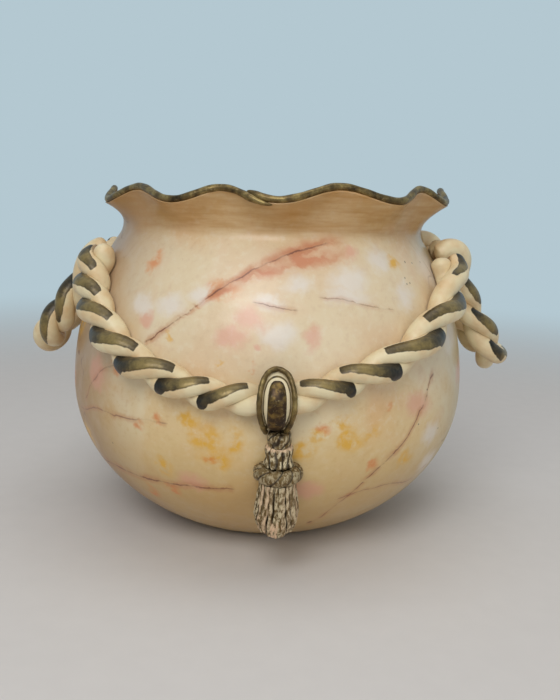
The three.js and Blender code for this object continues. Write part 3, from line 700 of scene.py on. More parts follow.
@dataclass(frozen=True)
class StrokedClay:
    """Cream slip clay rolled smooth, with bronze paint brushed on in single strokes.

    The clay is soft and satin. A stroke is golden in the middle and olive brown along its edges,
    partly the paint's own tones and partly painted highlight and shade of the round strand.
    """

    cream: str = "#E6D6AE"
    blush: str = "#DCC093"
    crevice_shade: str = "#7D5C38"
    paint_dark: str = "#1F170A"
    paint: str = "#4E3F22"
    paint_light: str = "#8A7442"

    def build(self) -> bpy.types.Material:
        """Lays strokes and painted crevice shade over the clay from the strand's own marks."""
        material, tree = new_material("slip_clay_bronze_stroked")
        add = partial(add_node, tree)
        place = place_in_mm(tree)
        cloud = add("TexNoise", {"Vector": place, "Scale": 1 / 14, "Detail": 3.0})
        fine = add("TexNoise", {"Vector": place, "Scale": 1 / 1.8, "Detail": 4.0, "Roughness": 0.6})
        colour = add("ValToRGB", {0: cloud.outputs[0]}, stops=[(0.38, self.blush), (0.6, self.cream)])
        # Painted shade: brown darkening where a strand meets the other strand or the wall
        crevice = add("Attribute", attribute_name="crevice").outputs["Fac"]
        soft = add("Math", {0: fine.outputs[0], 1: 0.8, 2: 0.6}, operation="MULTIPLY_ADD")
        groove = add("Math", {0: crevice, 1: soft}, operation="MULTIPLY")
        groove = add("MapRange", {"Value": groove, "From Min": 0.15, "From Max": 0.9})
        mix = add("Math", {0: groove, 1: 0.8}, operation="MULTIPLY")
        colour = add("Mix", {"Factor": mix, "A": colour, "B": linear(self.crevice_shade)}, data_type="RGBA")

        dents = add("TexNoise", {"Vector": place, "Scale": 1 / 6, "Detail": 2.0})
        edge = add("TexNoise", {"Vector": place, "Scale": 1 / 3.5, "Detail": 3.0})
        rough_edge = add("Math", {0: edge.outputs[0], 1: 1.6, 2: -0.8}, operation="MULTIPLY_ADD")
        stroke = add("Attribute", attribute_name="stroke").outputs["Fac"]
        inside = add("Math", {0: stroke, 1: rough_edge}, operation="ADD")
        painted = add("MapRange", {"Value": inside, "From Min": -0.1, "From Max": 0.35})
        run = add("Attribute", attribute_name="run").outputs["Fac"]
        hairs = add("Math", {0: fine.outputs[0], 1: 0.34, 2: -0.17}, operation="MULTIPLY_ADD")
        brushed = add("Math", {0: dents.outputs[0], 1: 0.5, 2: -0.25}, operation="MULTIPLY_ADD")
        tone = add("Math", {0: run, 1: hairs}, operation="ADD")
        tone = add("Math", {0: tone, 1: brushed}, operation="ADD")
        # Tone along the stroke, dark at the wide end and golden in the middle: partly paint, partly painted
        # shade and highlight of the round strand; next, painted shade darkens its edges
        paint = add("ValToRGB", {0: tone}, stops=[
            (0.10, self.paint_dark), (0.34, self.paint), (0.60, self.paint_light), (0.92, self.paint)])
        rim = add("MapRange", {"Value": inside, "From Min": 1.1, "From Max": 0.2, "To Max": 0.5})
        paint = add("Mix", {"Factor": rim, "A": paint, "B": linear(self.paint_dark)}, data_type="RGBA")
        colour = add("Mix", {"Factor": painted, "A": colour, "B": paint}, data_type="RGBA")

        metal = add("Math", {0: painted, 1: 0.42}, operation="MULTIPLY")
        gloss = add("MapRange", {"Value": painted, "To Min": 0.46, "To Max": 0.40})
        bump = add("Bump", {"Height": dents.outputs[0], "Strength": 0.35, "Distance": 0.001})
        bump = add("Bump", {"Height": fine.outputs[0], "Strength": 0.12, "Distance": 0.0003, "Normal": bump})
        surface = add("BsdfPrincipled", {"Base Color": colour, "Metallic": metal, "Roughness": gloss,
                                         "Coat Weight": 0.15, "Coat Roughness": 0.2, "Normal": bump})
        add("OutputMaterial", {"Surface": surface})
        return material


@dataclass(frozen=True)
class BronzeWash:
    """Bronze paint brushed on smooth clay, in noisy patches of dark brown, olive and gold with paler worn
    flecks.
    """

    name: str = "bronze_paint_brushed"
    dark: str = "#33260F"
    middle: str = "#6B5630"
    light: str = "#A68F58"
    worn: str = "#B5A27A"

    def build(self) -> bpy.types.Material:
        """Mixes the three tones of the paint by noise of brush width."""
        material, tree = new_material(self.name)
        add = partial(add_node, tree)
        place = place_in_mm(tree)
        cloud = add("TexNoise", {"Vector": place, "Scale": 1 / 7, "Detail": 4.0, "Roughness": 0.6})
        fine = add("TexNoise", {"Vector": place, "Scale": 1 / 1.5, "Detail": 3.0})
        colour = add("ValToRGB", {0: cloud.outputs[0]}, stops=[
            (0.3, self.dark), (0.5, self.middle), (0.72, self.light)])
        worn = add("MapRange", {"Value": fine.outputs[0], "From Min": 0.62, "From Max": 0.72, "To Max": 0.35})
        colour = add("Mix", {"Factor": worn, "A": colour, "B": linear(self.worn)}, data_type="RGBA")
        bump = add("Bump", {"Height": cloud.outputs[0], "Strength": 0.3, "Distance": 0.0008})
        bump = add("Bump", {"Height": fine.outputs[0], "Strength": 0.15, "Distance": 0.0003, "Normal": bump})
        gloss = add("MapRange", {"Value": cloud.outputs[0], "To Min": 0.28, "To Max": 0.45})
        surface = add("BsdfPrincipled", {"Base Color": colour, "Metallic": 0.6, "Roughness": gloss,
                                         "Normal": bump})
        add("OutputMaterial", {"Surface": surface})
        return material


@dataclass(frozen=True)
class LoopClay:
    """Cream clay of the tassel loop, with bronze run into its edge and its foot."""

    cream: str = "#E2D2AC"
    dark: str = "#32250F"
    middle: str = "#77602F"

    def build(self) -> bpy.types.Material:
        """Leaves a cream channel inside the bead and lets bronze pool at the foot."""
        material, tree = new_material("slip_clay_bronze_edged")
        add = partial(add_node, tree)
        place = place_in_mm(tree)
        cloud = add("TexNoise", {"Vector": place, "Scale": 1 / 3, "Detail": 4.0, "Roughness": 0.65})
        edge = add("Attribute", attribute_name="edge").outputs["Fac"]
        rise = add("Attribute", attribute_name="rise").outputs["Fac"]
        uneven = add("Math", {0: cloud.outputs[0], 1: 0.12, 2: -0.06}, operation="MULTIPLY_ADD")
        rim = add("Math", {0: edge, 1: uneven}, operation="ADD")
        rim = add("MapRange", {"Value": rim, "From Min": 0.93, "From Max": 0.98})
        ragged = add("Math", {0: cloud.outputs[0], 1: 0.35, 2: -0.17}, operation="MULTIPLY_ADD")
        foot = add("Math", {0: rise, 1: ragged}, operation="ADD")
        foot = add("MapRange", {"Value": foot, "From Min": 0.26, "From Max": 0.16})
        upright = add("VectorMath", {0: place, 1: (1.0, 1.0, 0.3)}, operation="MULTIPLY")
        streak = add("TexNoise", {"Vector": upright, "Scale": 1 / 1.6, "Detail": 3.0, "Roughness": 0.6})
        streak = add("MapRange", {"Value": streak.outputs[0], "From Min": 0.55, "From Max": 0.47})
        foot = add("Math", {0: foot, 1: streak}, operation="MULTIPLY")
        line = add("Math", {0: edge, 1: 0.83}, operation="SUBTRACT")
        line = add("Math", {0: line}, operation="ABSOLUTE")
        line = add("MapRange", {"Value": line, "From Min": 0.035, "From Max": 0.018})
        mask = add("Math", {0: rim, 1: foot}, operation="MAXIMUM")
        mask = add("Math", {0: mask, 1: line}, operation="MAXIMUM")
        paint = add("ValToRGB", {0: cloud.outputs[0]}, stops=[(0.38, self.dark), (0.62, self.middle)])
        colour = add("Mix", {"Factor": mask, "A": linear(self.cream), "B": paint}, data_type="RGBA")
        metal = add("Math", {0: mask, 1: 0.5}, operation="MULTIPLY")
        gloss = add("MapRange", {"Value": cloud.outputs[0], "To Min": 0.34, "To Max": 0.5})
        bump = add("Bump", {"Height": cloud.outputs[0], "Strength": 0.3, "Distance": 0.0006})
        surface = add("BsdfPrincipled", {"Base Color": colour, "Metallic": metal, "Roughness": gloss,
                                         "Normal": bump})
        add("OutputMaterial", {"Surface": surface})
        return material


@dataclass(frozen=True)
class RubbedBronze:
    """Bronze paint wiped off the ridges of rough clay, so cream shows through; the paint stays in the
    hollows, darkened there with painted shade.
    """

    # Groove tone: the paint kept in the hollows together with painted shade
    hollow: str = "#2A1C0D"
    paint: str = "#6E5730"
    cream: str = "#E0CFA9"
    blush: str = "#E3BD9A"

    def build(self) -> bpy.types.Material:
        """Wears the paint by upright streaks and keeps it in the grooves, darkened there with painted shade.
        """
        material, tree = new_material("bronze_paint_rubbed")
        add = partial(add_node, tree)
        place = place_in_mm(tree)
        upright = add("VectorMath", {0: place, 1: (1.0, 1.0, 0.35)}, operation="MULTIPLY")
        streak = add("TexNoise", {"Vector": upright, "Scale": 1 / 1.6, "Detail": 4.0, "Roughness": 0.65})
        crumb = add("TexNoise", {"Vector": place, "Scale": 1 / 3.2, "Detail": 3.0})
        groove = add("Attribute", attribute_name="groove").outputs["Fac"]
        pale = add("Attribute", attribute_name="pale").outputs["Fac"]
        worn = add("MapRange", {"Value": streak.outputs[0], "From Min": 0.45, "From Max": 0.54})
        patch = add("MapRange", {"Value": crumb.outputs[0], "From Min": 0.33, "From Max": 0.51})
        flecks = add("MapRange", {"Value": streak.outputs[0], "From Min": 0.38, "From Max": 0.5})
        pale = add("Math", {0: pale, 1: flecks}, operation="MULTIPLY")
        wear = add("Attribute", attribute_name="wear").outputs["Fac"]
        worn = add("Math", {0: worn, 1: patch}, operation="MULTIPLY")
        worn = add("Math", {0: worn, 1: wear}, operation="MULTIPLY")
        worn = add("Math", {0: worn, 1: pale}, operation="MAXIMUM")
        colour = add("Mix", {"Factor": worn, "A": linear(self.paint), "B": linear(self.cream)},
                     data_type="RGBA")
        # Painted shade: the grooves go near black, darker than the paint kept in them
        deep = add("MapRange", {"Value": groove, "From Min": 0.25, "From Max": 0.85})
        deep = add("Math", {0: deep, 1: 0.9}, operation="MULTIPLY")
        rosy = add("Mix", {"Factor": pale, "A": colour, "B": linear(self.blush)}, data_type="RGBA")
        colour = add("Mix", {"Factor": deep, "A": rosy, "B": linear(self.hollow)}, data_type="RGBA")
        left = add("Math", {0: 1.0, 1: worn}, operation="SUBTRACT")
        metal = add("Math", {0: left, 1: 0.5}, operation="MULTIPLY")
        gloss = add("MapRange", {"Value": streak.outputs[0], "To Min": 0.35, "To Max": 0.6})
        bump = add("Bump", {"Height": streak.outputs[0], "Strength": 0.6, "Distance": 0.001})
        bump = add("Bump", {"Height": crumb.outputs[0], "Strength": 0.4, "Distance": 0.0012, "Normal": bump})
        surface = add("BsdfPrincipled", {"Base Color": colour, "Metallic": metal, "Roughness": gloss,
                                         "Normal": bump})
        add("OutputMaterial", {"Surface": surface})
        return material


# Bowl and rim


@dataclass(frozen=True)
class Ruffle:
    """Hand-pinched waves of the lip, named by the angle of each trough from the front.

    The whole lip leans a little to the right and stands a little higher there.
    """

    troughs: tuple[float, ...] = (-70, -33, -2, 35, 64, 94, 122, 177, 221, 265)
    rise: float = 4.1
    flare: float = 3.2
    lean: float = 3.0
    tilt: float = 1.3

    def wave(self, degrees: np.ndarray) -> np.ndarray:
        """1 in a trough and -1 on a crest, at angles from the front."""
        starts = np.array([*self.troughs, self.troughs[0] + 360], float)
        at = (np.asarray(degrees) - starts[0]) % 360 + starts[0]
        i = np.clip(np.searchsorted(starts, at, "right") - 1, 0, len(starts) - 2)
        return np.cos(2 * np.pi * (at - starts[i]) / (starts[i + 1] - starts[i]))

    def moved(self, points: np.ndarray, degrees: np.ndarray, share: np.ndarray) -> np.ndarray:
        """Ruffles points of the turned pot.

        Args:
            points: Points in millimetres.
            degrees: Their angles from the front.
            share: 0 at the neck and 1 at the lip.

        Returns:
            The moved points.
        """
        wave = self.wave(degrees)
        turn = np.radians(degrees)
        out = share * self.flare * wave
        x = points[..., 0] + out * np.sin(turn) + share * self.lean
        y = points[..., 1] - out * np.cos(turn)
        z = points[..., 2] + share * (points[..., 0] * math.tan(math.radians(self.tilt)) - self.rise * wave)
        return np.stack([x, y, z], -1)


@dataclass
class Bowl:
    """Thrown hollow pot: flat base, round belly, short neck and flared ruffled lip."""

    lip_radius: float = 124.0
    neck_length: float = 23.5
    thickness: float = 7.0
    floor: float = 9.0
    ruffle: Ruffle = Ruffle()
    segments: int = 384
    crease_softness: float = 4.0

    @property
    def lip_height(self) -> float:
        """Height of the lip before it is ruffled."""
        return WALL.neck_height + self.neck_length

    def outer_profile(self) -> np.ndarray:
        """Radius and height pairs of the outside, from the base edge to the lip."""
        foot = np.arcsin(WALL.base / WALL.belly)
        neck = np.arcsin(WALL.neck / WALL.belly)
        low = np.linspace(foot, np.pi / 2, 60)
        high = np.linspace(np.pi / 2, neck, 50)[1:]
        t = np.linspace(0, 1, 26)[1:, None]
        start = np.array([WALL.neck, WALL.neck_height])
        middle = np.array([WALL.neck + 1, (WALL.neck_height + self.lip_height) / 2])
        end = np.array([self.lip_radius, self.lip_height])
        line = np.vstack([
            np.stack([WALL.belly * np.sin(low), WALL.widest - WALL.lower * np.cos(low)], 1),
            np.stack([WALL.belly * np.sin(high), WALL.widest + WALL.upper * np.cos(high)], 1),
            (1 - t) ** 2 * start + 2 * t * (1 - t) * middle + t ** 2 * end,
        ])
        return self.softened(line)

    def softened(self, line: np.ndarray) -> np.ndarray:
        """Rounds the crease under the neck, with both ends of the line kept."""
        length = np.concatenate([[0], np.cumsum(np.linalg.norm(np.diff(line, axis=0), axis=1))])
        at = np.linspace(0, length[-1], 260)
        even = np.stack([np.interp(at, length, line[:, k]) for k in range(2)], 1)
        span = at[1] * np.arange(-30, 31)
        weight = np.exp(-0.5 * (span / self.crease_softness) ** 2)
        weight /= weight.sum()
        padded = np.pad(even, ((30, 30), (0, 0)), mode="reflect", reflect_type="odd")
        soft = np.stack([np.convolve(padded[:, k], weight, "valid") for k in range(2)], 1)
        near = np.exp(-0.5 * ((even[:, 1] - WALL.neck_height) / 9) ** 2)[:, None]
        return even + (soft - even) * near

    def profile(self) -> tuple[np.ndarray, np.ndarray]:
        """Closed line of the pot's section.

        Returns:
            Radius and height pairs, and for each 1 on the inside and 0 on the outside.
        """
        outer = self.outer_profile()
        along = unit(np.gradient(outer, axis=0))
        inner = outer + self.thickness * np.stack([-along[:, 1], along[:, 0]], 1)
        inner = inner[(inner[:, 1] > self.floor + 3) & (inner[:, 1] < self.lip_height - 2)][::-1]
        edge = outer[-1]
        top_in = edge[0] - self.thickness
        lip = np.array([[edge[0] - 1.2, edge[1] + 0.6], [edge[0] - 3.5, edge[1] + 0.9],
                        [top_in + 1.0, edge[1] + 0.3], [top_in - 0.4, edge[1] - 1.2]])
        base = np.array([[0, 0], [WALL.base * 0.5, 0], [WALL.base - 2.5, 0], [WALL.base - 0.8, 0.4]])
        bottom = np.array([[WALL.base, self.floor + 1], [WALL.base * 0.8, self.floor], [0, self.floor]])
        line = np.vstack([base, outer[2:], lip, inner, bottom])
        inside = np.zeros(len(line))
        inside[len(base) + len(outer):] = 1
        return line, inside

    def build(self, material: bpy.types.Material) -> None:
        """Turns the profile about the axis, ruffles the lip and dresses the pot."""
        line, inside = self.profile()
        degrees = np.linspace(0, 360, self.segments, endpoint=False)
        turn = np.radians(degrees)
        share = np.clip((line[:, 1] - WALL.neck_height) / (self.lip_height - WALL.neck_height), 0, 1) ** 1.5
        radius = np.maximum(line[:, :1], 1e-3)
        height = np.broadcast_to(line[:, 1:], (len(line), self.segments))
        rings = np.stack([radius * np.sin(turn), -radius * np.cos(turn), height], -1)
        rings = self.ruffle.moved(rings, degrees[None, :], share[:, None])
        piece = make_mesh("bowl_glazed", rings, marks={"inside": inside[:, None]})
        finish_piece(piece, material, "marbled_glaze", "bowl")


@dataclass
class RimBead:
    """Coil laid along the lip. Its two ends lap at the front, the end under the start."""

    bowl: Bowl
    radius: float = 2.3
    overhang: float = 0.6
    start: float = -11.0
    overlap: float = 7.5
    dip: float = 3.4
    steps: int = 900

    def build(self, material: bpy.types.Material) -> None:
        """Lays the coil round the lip and dresses it."""
        degrees = np.linspace(self.start, 360 + self.start + self.overlap, self.steps)
        left = 360 + self.start + self.overlap - degrees
        under = smooth(-left, -self.overlap * 3.2, -self.overlap * 0.2)
        out = self.bowl.lip_radius - self.radius + self.overhang + 1.5 * under
        rise = self.bowl.lip_height + self.radius + 0.3 - self.dip * under
        turn = np.radians(degrees)
        path = np.stack([out * np.sin(turn), -out * np.cos(turn), rise], 1)
        path = self.bowl.ruffle.moved(path, degrees, 1.0)
        tips = np.sqrt(np.clip((degrees - self.start) / 3.0, 0.003, 1) * np.clip(left / 6.0, 0.003, 1))
        pressed = 1 + 0.06 * np.sin(turn * 23 + 2 * np.sin(turn * 5)) + 0.04 * np.sin(turn * 61)
        rings = tube(path, self.radius * tips * pressed, 16)
        finish_piece(make_mesh("rim_bead_rubbed", rings), material, "bronze_wash", "rim_bead")


# Ropes


@dataclass(frozen=True)
class Strokes:
    """Bronze strokes on a rope, one on each crossing named.

    Places run along the rope in degrees of its twist from the crossing. Low and high are the
    edges of the stroke there, in degrees round the strand from its outer side. Sizes are shares
    of that stroke, one for each crossing.
    """

    crossings: tuple[int, ...]
    way: float
    places: tuple[float, ...]
    low: tuple[float, ...]
    high: tuple[float, ...]
    sizes: tuple[float, ...] = ()


@dataclass
class Rope:
    """Two clay strands twisted together, with a bronze stroke on each crossing that its strokes name."""

    name: str
    centre: np.ndarray
    out: np.ndarray
    radius: np.ndarray
    phase: np.ndarray
    brush: np.ndarray
    strokes: Strokes
    squeeze: float = 0.76
    swell: float = 0.9
    sides: int = 32

    def strands(self) -> list[np.ndarray]:
        """Middle lines of the two strands."""
        along = directions(self.centre)
        out = unit(self.out - (self.out * along).sum(1, keepdims=True) * along)
        across = np.cross(along, out)
        lines = []
        for start in (0, np.pi):
            phase = (self.phase + start)[:, None]
            apart = (self.radius * self.squeeze + 0.4)[:, None]
            lines.append(self.centre + apart * (out * np.cos(phase) + across * np.sin(phase)))
        return lines

    def stroke(self, line: np.ndarray, rings: np.ndarray, start: float,
               seed: int) -> tuple[np.ndarray, np.ndarray]:
        """Where the bronze strokes lie on a strand.

        A stroke is as wide as the strand at one end, runs along its upper edge and narrows to
        the other end.

        Args:
            line: Middle line of the strand.
            rings: Its surface points.
            start: Phase that the strand starts at.
            seed: Seed of the hand's unevenness from stroke to stroke.

        Returns:
            For each point, the distance inside a stroke in millimetres, negative outside, and
            the place along the stroke, from 0 at its wide end to 1.
        """
        along = directions(line)
        out = unit(self.out - (self.out * along).sum(1, keepdims=True) * along)
        up = self.brush - (self.brush * along).sum(1, keepdims=True) * along
        up = unit(up - (up * out).sum(1, keepdims=True) * out)
        arm = rings - line[:, None]
        psi = np.degrees(np.arctan2((arm * up[:, None]).sum(-1), (arm * out[:, None]).sum(-1)))
        turns = (self.phase + start) / (2 * np.pi)
        crossing = np.round(turns)
        step = np.gradient(self.phase + start)
        way = np.sign(np.median(step))
        off = np.degrees(2 * np.pi * (turns - crossing)) * way * self.strokes.way
        number = np.round(2 * crossing * way - start / np.pi * way)
        bare = ~np.isin(number.astype(int), self.strokes.crossings)
        size = np.ones(len(line))
        for named, own in zip(self.strokes.crossings, self.strokes.sizes):
            size[number == named] = own
        off = off / size
        pick = (crossing - crossing.min()).astype(int)
        loose = hash_noise(int(pick.max()) + 1, seed)[pick] - 0.5
        places = self.strokes.places
        low = np.interp(off, places, self.strokes.low) + 14 * loose
        high = np.interp(off, places, self.strokes.high)
        middle, half = (low + high) / 2, (high - low) / 2 * size
        low, high = middle - half, middle + half
        side = np.minimum(psi - low[:, None], high[:, None] - psi) * np.pi / 180 * self.radius[:, None]
        run = np.linalg.norm(np.gradient(line, axis=0), axis=1) / np.maximum(np.degrees(np.abs(step)), 1e-6)
        first = (off - places[0] - 12 * loose) * np.minimum(run, 1.0)
        last = (places[-1] - 14 * loose - off) * np.minimum(run, 1.0)
        inside = np.minimum(side, np.minimum(first, last)[:, None])
        inside[bare] = np.minimum(inside[bare], -5.0)
        share = (off - places[0]) / (places[-1] - places[0])
        return inside, np.broadcast_to(np.clip(share, 0, 1)[:, None], inside.shape)

    def crevice(self, rings: np.ndarray, other: np.ndarray) -> np.ndarray:
        """1 where the surface meets the other strand or the wall, fading to 0 away from it."""
        points = rings.reshape(-1, 3)
        gap = np.full(len(points), 99.0)
        for i in range(0, len(other), 2):
            gap = np.minimum(gap, np.linalg.norm(points - other[i], axis=1) - self.radius[i])
        wall = WALL.off(points)[0]
        return np.maximum(np.exp(-np.clip(gap, 0, 99) / 1.0), np.exp(-np.clip(wall - 0.3, 0, 99) / 0.9)
                          ).reshape(rings.shape[:2])

    def build(self, material: bpy.types.Material, nodes: tuple[str, str]) -> None:
        """Makes and dresses both strands.

        Args:
            material: The painted clay.
            nodes: CAD nodes of the two strands.
        """
        lines = self.strands()
        for i, (line, node) in enumerate(zip(lines, nodes)):
            radii = self.radius + self.swell
            tips = np.ones(len(line))
            lead = 8
            tips[:lead] = np.sqrt(1 - (1 - np.arange(lead) / lead) ** 2).clip(0.05)
            tips[-lead:] = tips[:lead][::-1]
            rings = WALL.press(tube(line, radii * tips, self.sides), 0.05)
            inside, run = self.stroke(line, rings, i * np.pi, 7 * len(self.name) + i)
            marks = {"stroke": inside, "run": run, "crevice": self.crevice(rings, lines[1 - i])}
            piece = make_mesh(f"{self.name}_strand_{'ab'[i]}_painted", rings, marks=marks)
            finish_piece(piece, material, "cream_clay", node)


# Way of each garland rope over the wall: degrees from the tassel, share of the rise
GARLAND_WAYS = {
    Side.LEFT: ((17, 0.035), (27, 0.12), (36, 0.21), (46, 0.38), (56.5, 0.6), (61.5, 0.76), (63.5, 0.92)),
    Side.RIGHT: ((14.5, 0.115), (24.5, 0.21), (33, 0.29), (42, 0.44), (50.5, 0.56), (57.5, 0.68), (64, 0.8),
                 (66, 0.92)),
}
# Shares of each rope's length where one strand passes over the other
GARLAND_CROSSINGS = {
    Side.LEFT: (0.130, 0.256, 0.411, 0.561, 0.709, 0.832, 0.932),
    Side.RIGHT: (0.135, 0.278, 0.484, 0.702, 0.922),
}
# Size of the stroke on each crossing, smaller where the rope meets the handle
GARLAND_STROKE_SIZES = {
    Side.LEFT: (1.0, 1.0, 1.0, 1.0, 1.0, 0.95, 0.74),
    Side.RIGHT: (1.0, 1.0, 1.0, 1.0, 0.62),
}


def crossing_phase(share: np.ndarray, crossings: tuple[float, ...]) -> np.ndarray:
    """Twist in half turns that is a whole number at each crossing, carried on evenly past the ends."""
    places = np.array([2 * crossings[0] - crossings[1], *crossings, 2 * crossings[-1] - crossings[-2]])
    steps = np.arange(-1, len(crossings) + 1, dtype=float)
    rate = np.gradient(steps, places)
    i = np.clip(np.searchsorted(places, share) - 1, 0, len(places) - 2)
    span = places[i + 1] - places[i]
    t = (share - places[i]) / span
    bend = span * (1 - t) * rate[i] - span * t * rate[i + 1]
    return steps[i] + t * t * (3 - 2 * t) + t * (1 - t) * bend


@dataclass
class Garland:
    """One rope of the garland, from the tassel loop up to the handle's root."""

    face: Face
    side: Side
    over_belly: float = 15.0
    under_neck: float = 12.0
    half_split: float = 6.0
    front_strand: float = 4.9
    side_strand: float = 6.3
    sink: float = 2.2
    steps: int = 320

    def build(self, material: bpy.types.Material) -> None:
        """Makes both strands over the wall and dresses them."""
        way = np.array([(math.degrees(self.half_split / WALL.belly), 0.0), *GARLAND_WAYS[self.side]])
        low, high = WALL.widest + self.over_belly, WALL.neck_height - self.under_neck
        foot = evenly(WALL.over(self.side.value * way[:, 0], lerp(low, high, way[:, 1]), 0.0), self.steps)
        share = np.linspace(0, 1, self.steps)
        radius = lerp(self.front_strand, self.side_strand, smooth(share, 0.1, 0.7))
        distance, out = WALL.off(foot)
        centre = foot + out * (2 * radius + 0.3 - self.sink - distance)[:, None]
        phase = self.side.value * np.pi * crossing_phase(share, GARLAND_CROSSINGS[self.side])
        centre = half_turn(centre, self.face)
        side = Side(-self.side.value) if self.face is Face.BACK else self.side
        name = f"{self.face.name.lower()}_garland_{side.name.lower()}"
        strokes = Strokes(tuple(range(len(GARLAND_CROSSINGS[self.side]))), -1, (-92, -66, -40, 20, 100),
                          (-80, -62, -22, -6, 22), (66, 80, 84, 84, 78), GARLAND_STROKE_SIZES[self.side])
        brush = np.tile([0.0, 0.0, 1.0], (len(centre), 1))
        rope = Rope(name, centre, WALL.off(centre)[1], radius, phase, brush, strokes)
        rope.build(material, (f"{name}_strand_a", f"{name}_strand_b"))


@dataclass(frozen=True)
class HandleShape:
    """Sizes of one handle.

    The way holds the share of the drop, the share of the reach off the wall and the distance
    from the middle plane as a share of the spread. The crossings are the places along the rope
    where one strand lies outside the other.
    """

    under_neck: float
    over_belly: float
    reach: float
    way: tuple[tuple[float, float, float], ...]
    crossings: tuple[float, ...]
    strokes: Strokes


HANDLES = {
    Side.LEFT: HandleShape(
        19.5, 23.5, 22.0,
        ((0, 0.05, 2.2), (0.036, 0.16, 2.15), (0.098, 0.22, 2.05), (0.195, 0.27, 1.9),
         (0.31, 0.31, 1.7), (0.44, 0.38, 1.5), (0.59, 0.52, 1.35), (0.74, 0.71, 1.22),
         (0.86, 0.87, 1.02), (0.945, 0.97, 0.68), (1, 1, 0)),
        (0.05, 0.225, 0.335, 0.445, 0.555, 0.665, 0.775, 0.95),
        Strokes((1, 2, 5, 6), 1, (-75, -50, -10, 70, 140), (0, -25, -25, -10, 30), (70, 92, 94, 88, 64))),
    Side.RIGHT: HandleShape(
        12.0, 17.5, 28.0,
        ((0, 0.1, 1.75), (0.036, 0.33, 1.72), (0.098, 0.45, 1.66), (0.195, 0.42, 1.58),
         (0.31, 0.36, 1.48), (0.44, 0.37, 1.38), (0.59, 0.47, 1.3), (0.74, 0.65, 1.22),
         (0.875, 0.85, 1.02), (0.95, 0.96, 0.68), (1, 1, 0)),
        (0.07, 0.215, 0.34, 0.465, 0.59, 0.715, 0.835, 0.955),
        Strokes((1, 2, 3, 5, 6), 1, (-130, -105, -60, -10, 30), (10, -5, -15, -25, -20),
                (52, 66, 70, 70, 40))),
}


@dataclass
class Handle:
    """Rope loop: over the shoulder, out and down, round the bottom and back to the rear root."""

    side: Side
    spread: float = 19.0
    strand_root: float = 6.9
    strand: float = 6.0
    steps: int = 460

    def path(self) -> np.ndarray:
        """Middle line of the rope for the right side of the pot."""
        shape = HANDLES[self.side]
        front = []
        for drop, off, spread in shape.way:
            z = lerp(WALL.neck_height - shape.under_neck, WALL.widest + shape.over_belly, drop)
            distance = off * shape.reach
            aside = math.asin(spread * self.spread / (float(WALL.radius(z)) + distance))
            front.append(WALL.over(90 - math.degrees(aside), z, distance))
        rear = [p * np.array([1, -1, 1]) for p in front[-2::-1]]
        return evenly(np.array(front + rear), self.steps)

    def build(self, material: bpy.types.Material) -> None:
        """Makes both strands and dresses them."""
        share = np.linspace(0, 1, self.steps)
        shape = HANDLES[self.side]
        last = len(shape.crossings) - 0.5
        crossed = np.clip(crossing_phase(share, shape.crossings), -0.5, last)
        radius = lerp(self.strand_root, self.strand, smooth(np.minimum(share, 1 - share), 0.05, 0.2))
        path = self.path() * np.array([self.side.value, 1, 1])
        name = f"{self.side.name.lower()}_handle"
        brush = np.stack([np.zeros(self.steps), np.clip(path[:, 1] / 12, -1, 1),
                          np.full(self.steps, 0.5)], 1)
        rope = Rope(name, path, WALL.off(path)[1], radius, -np.pi * crossed, brush, shape.strokes)
        rope.build(material, (f"{name}_strand_a", f"{name}_strand_b"))


# Tassel


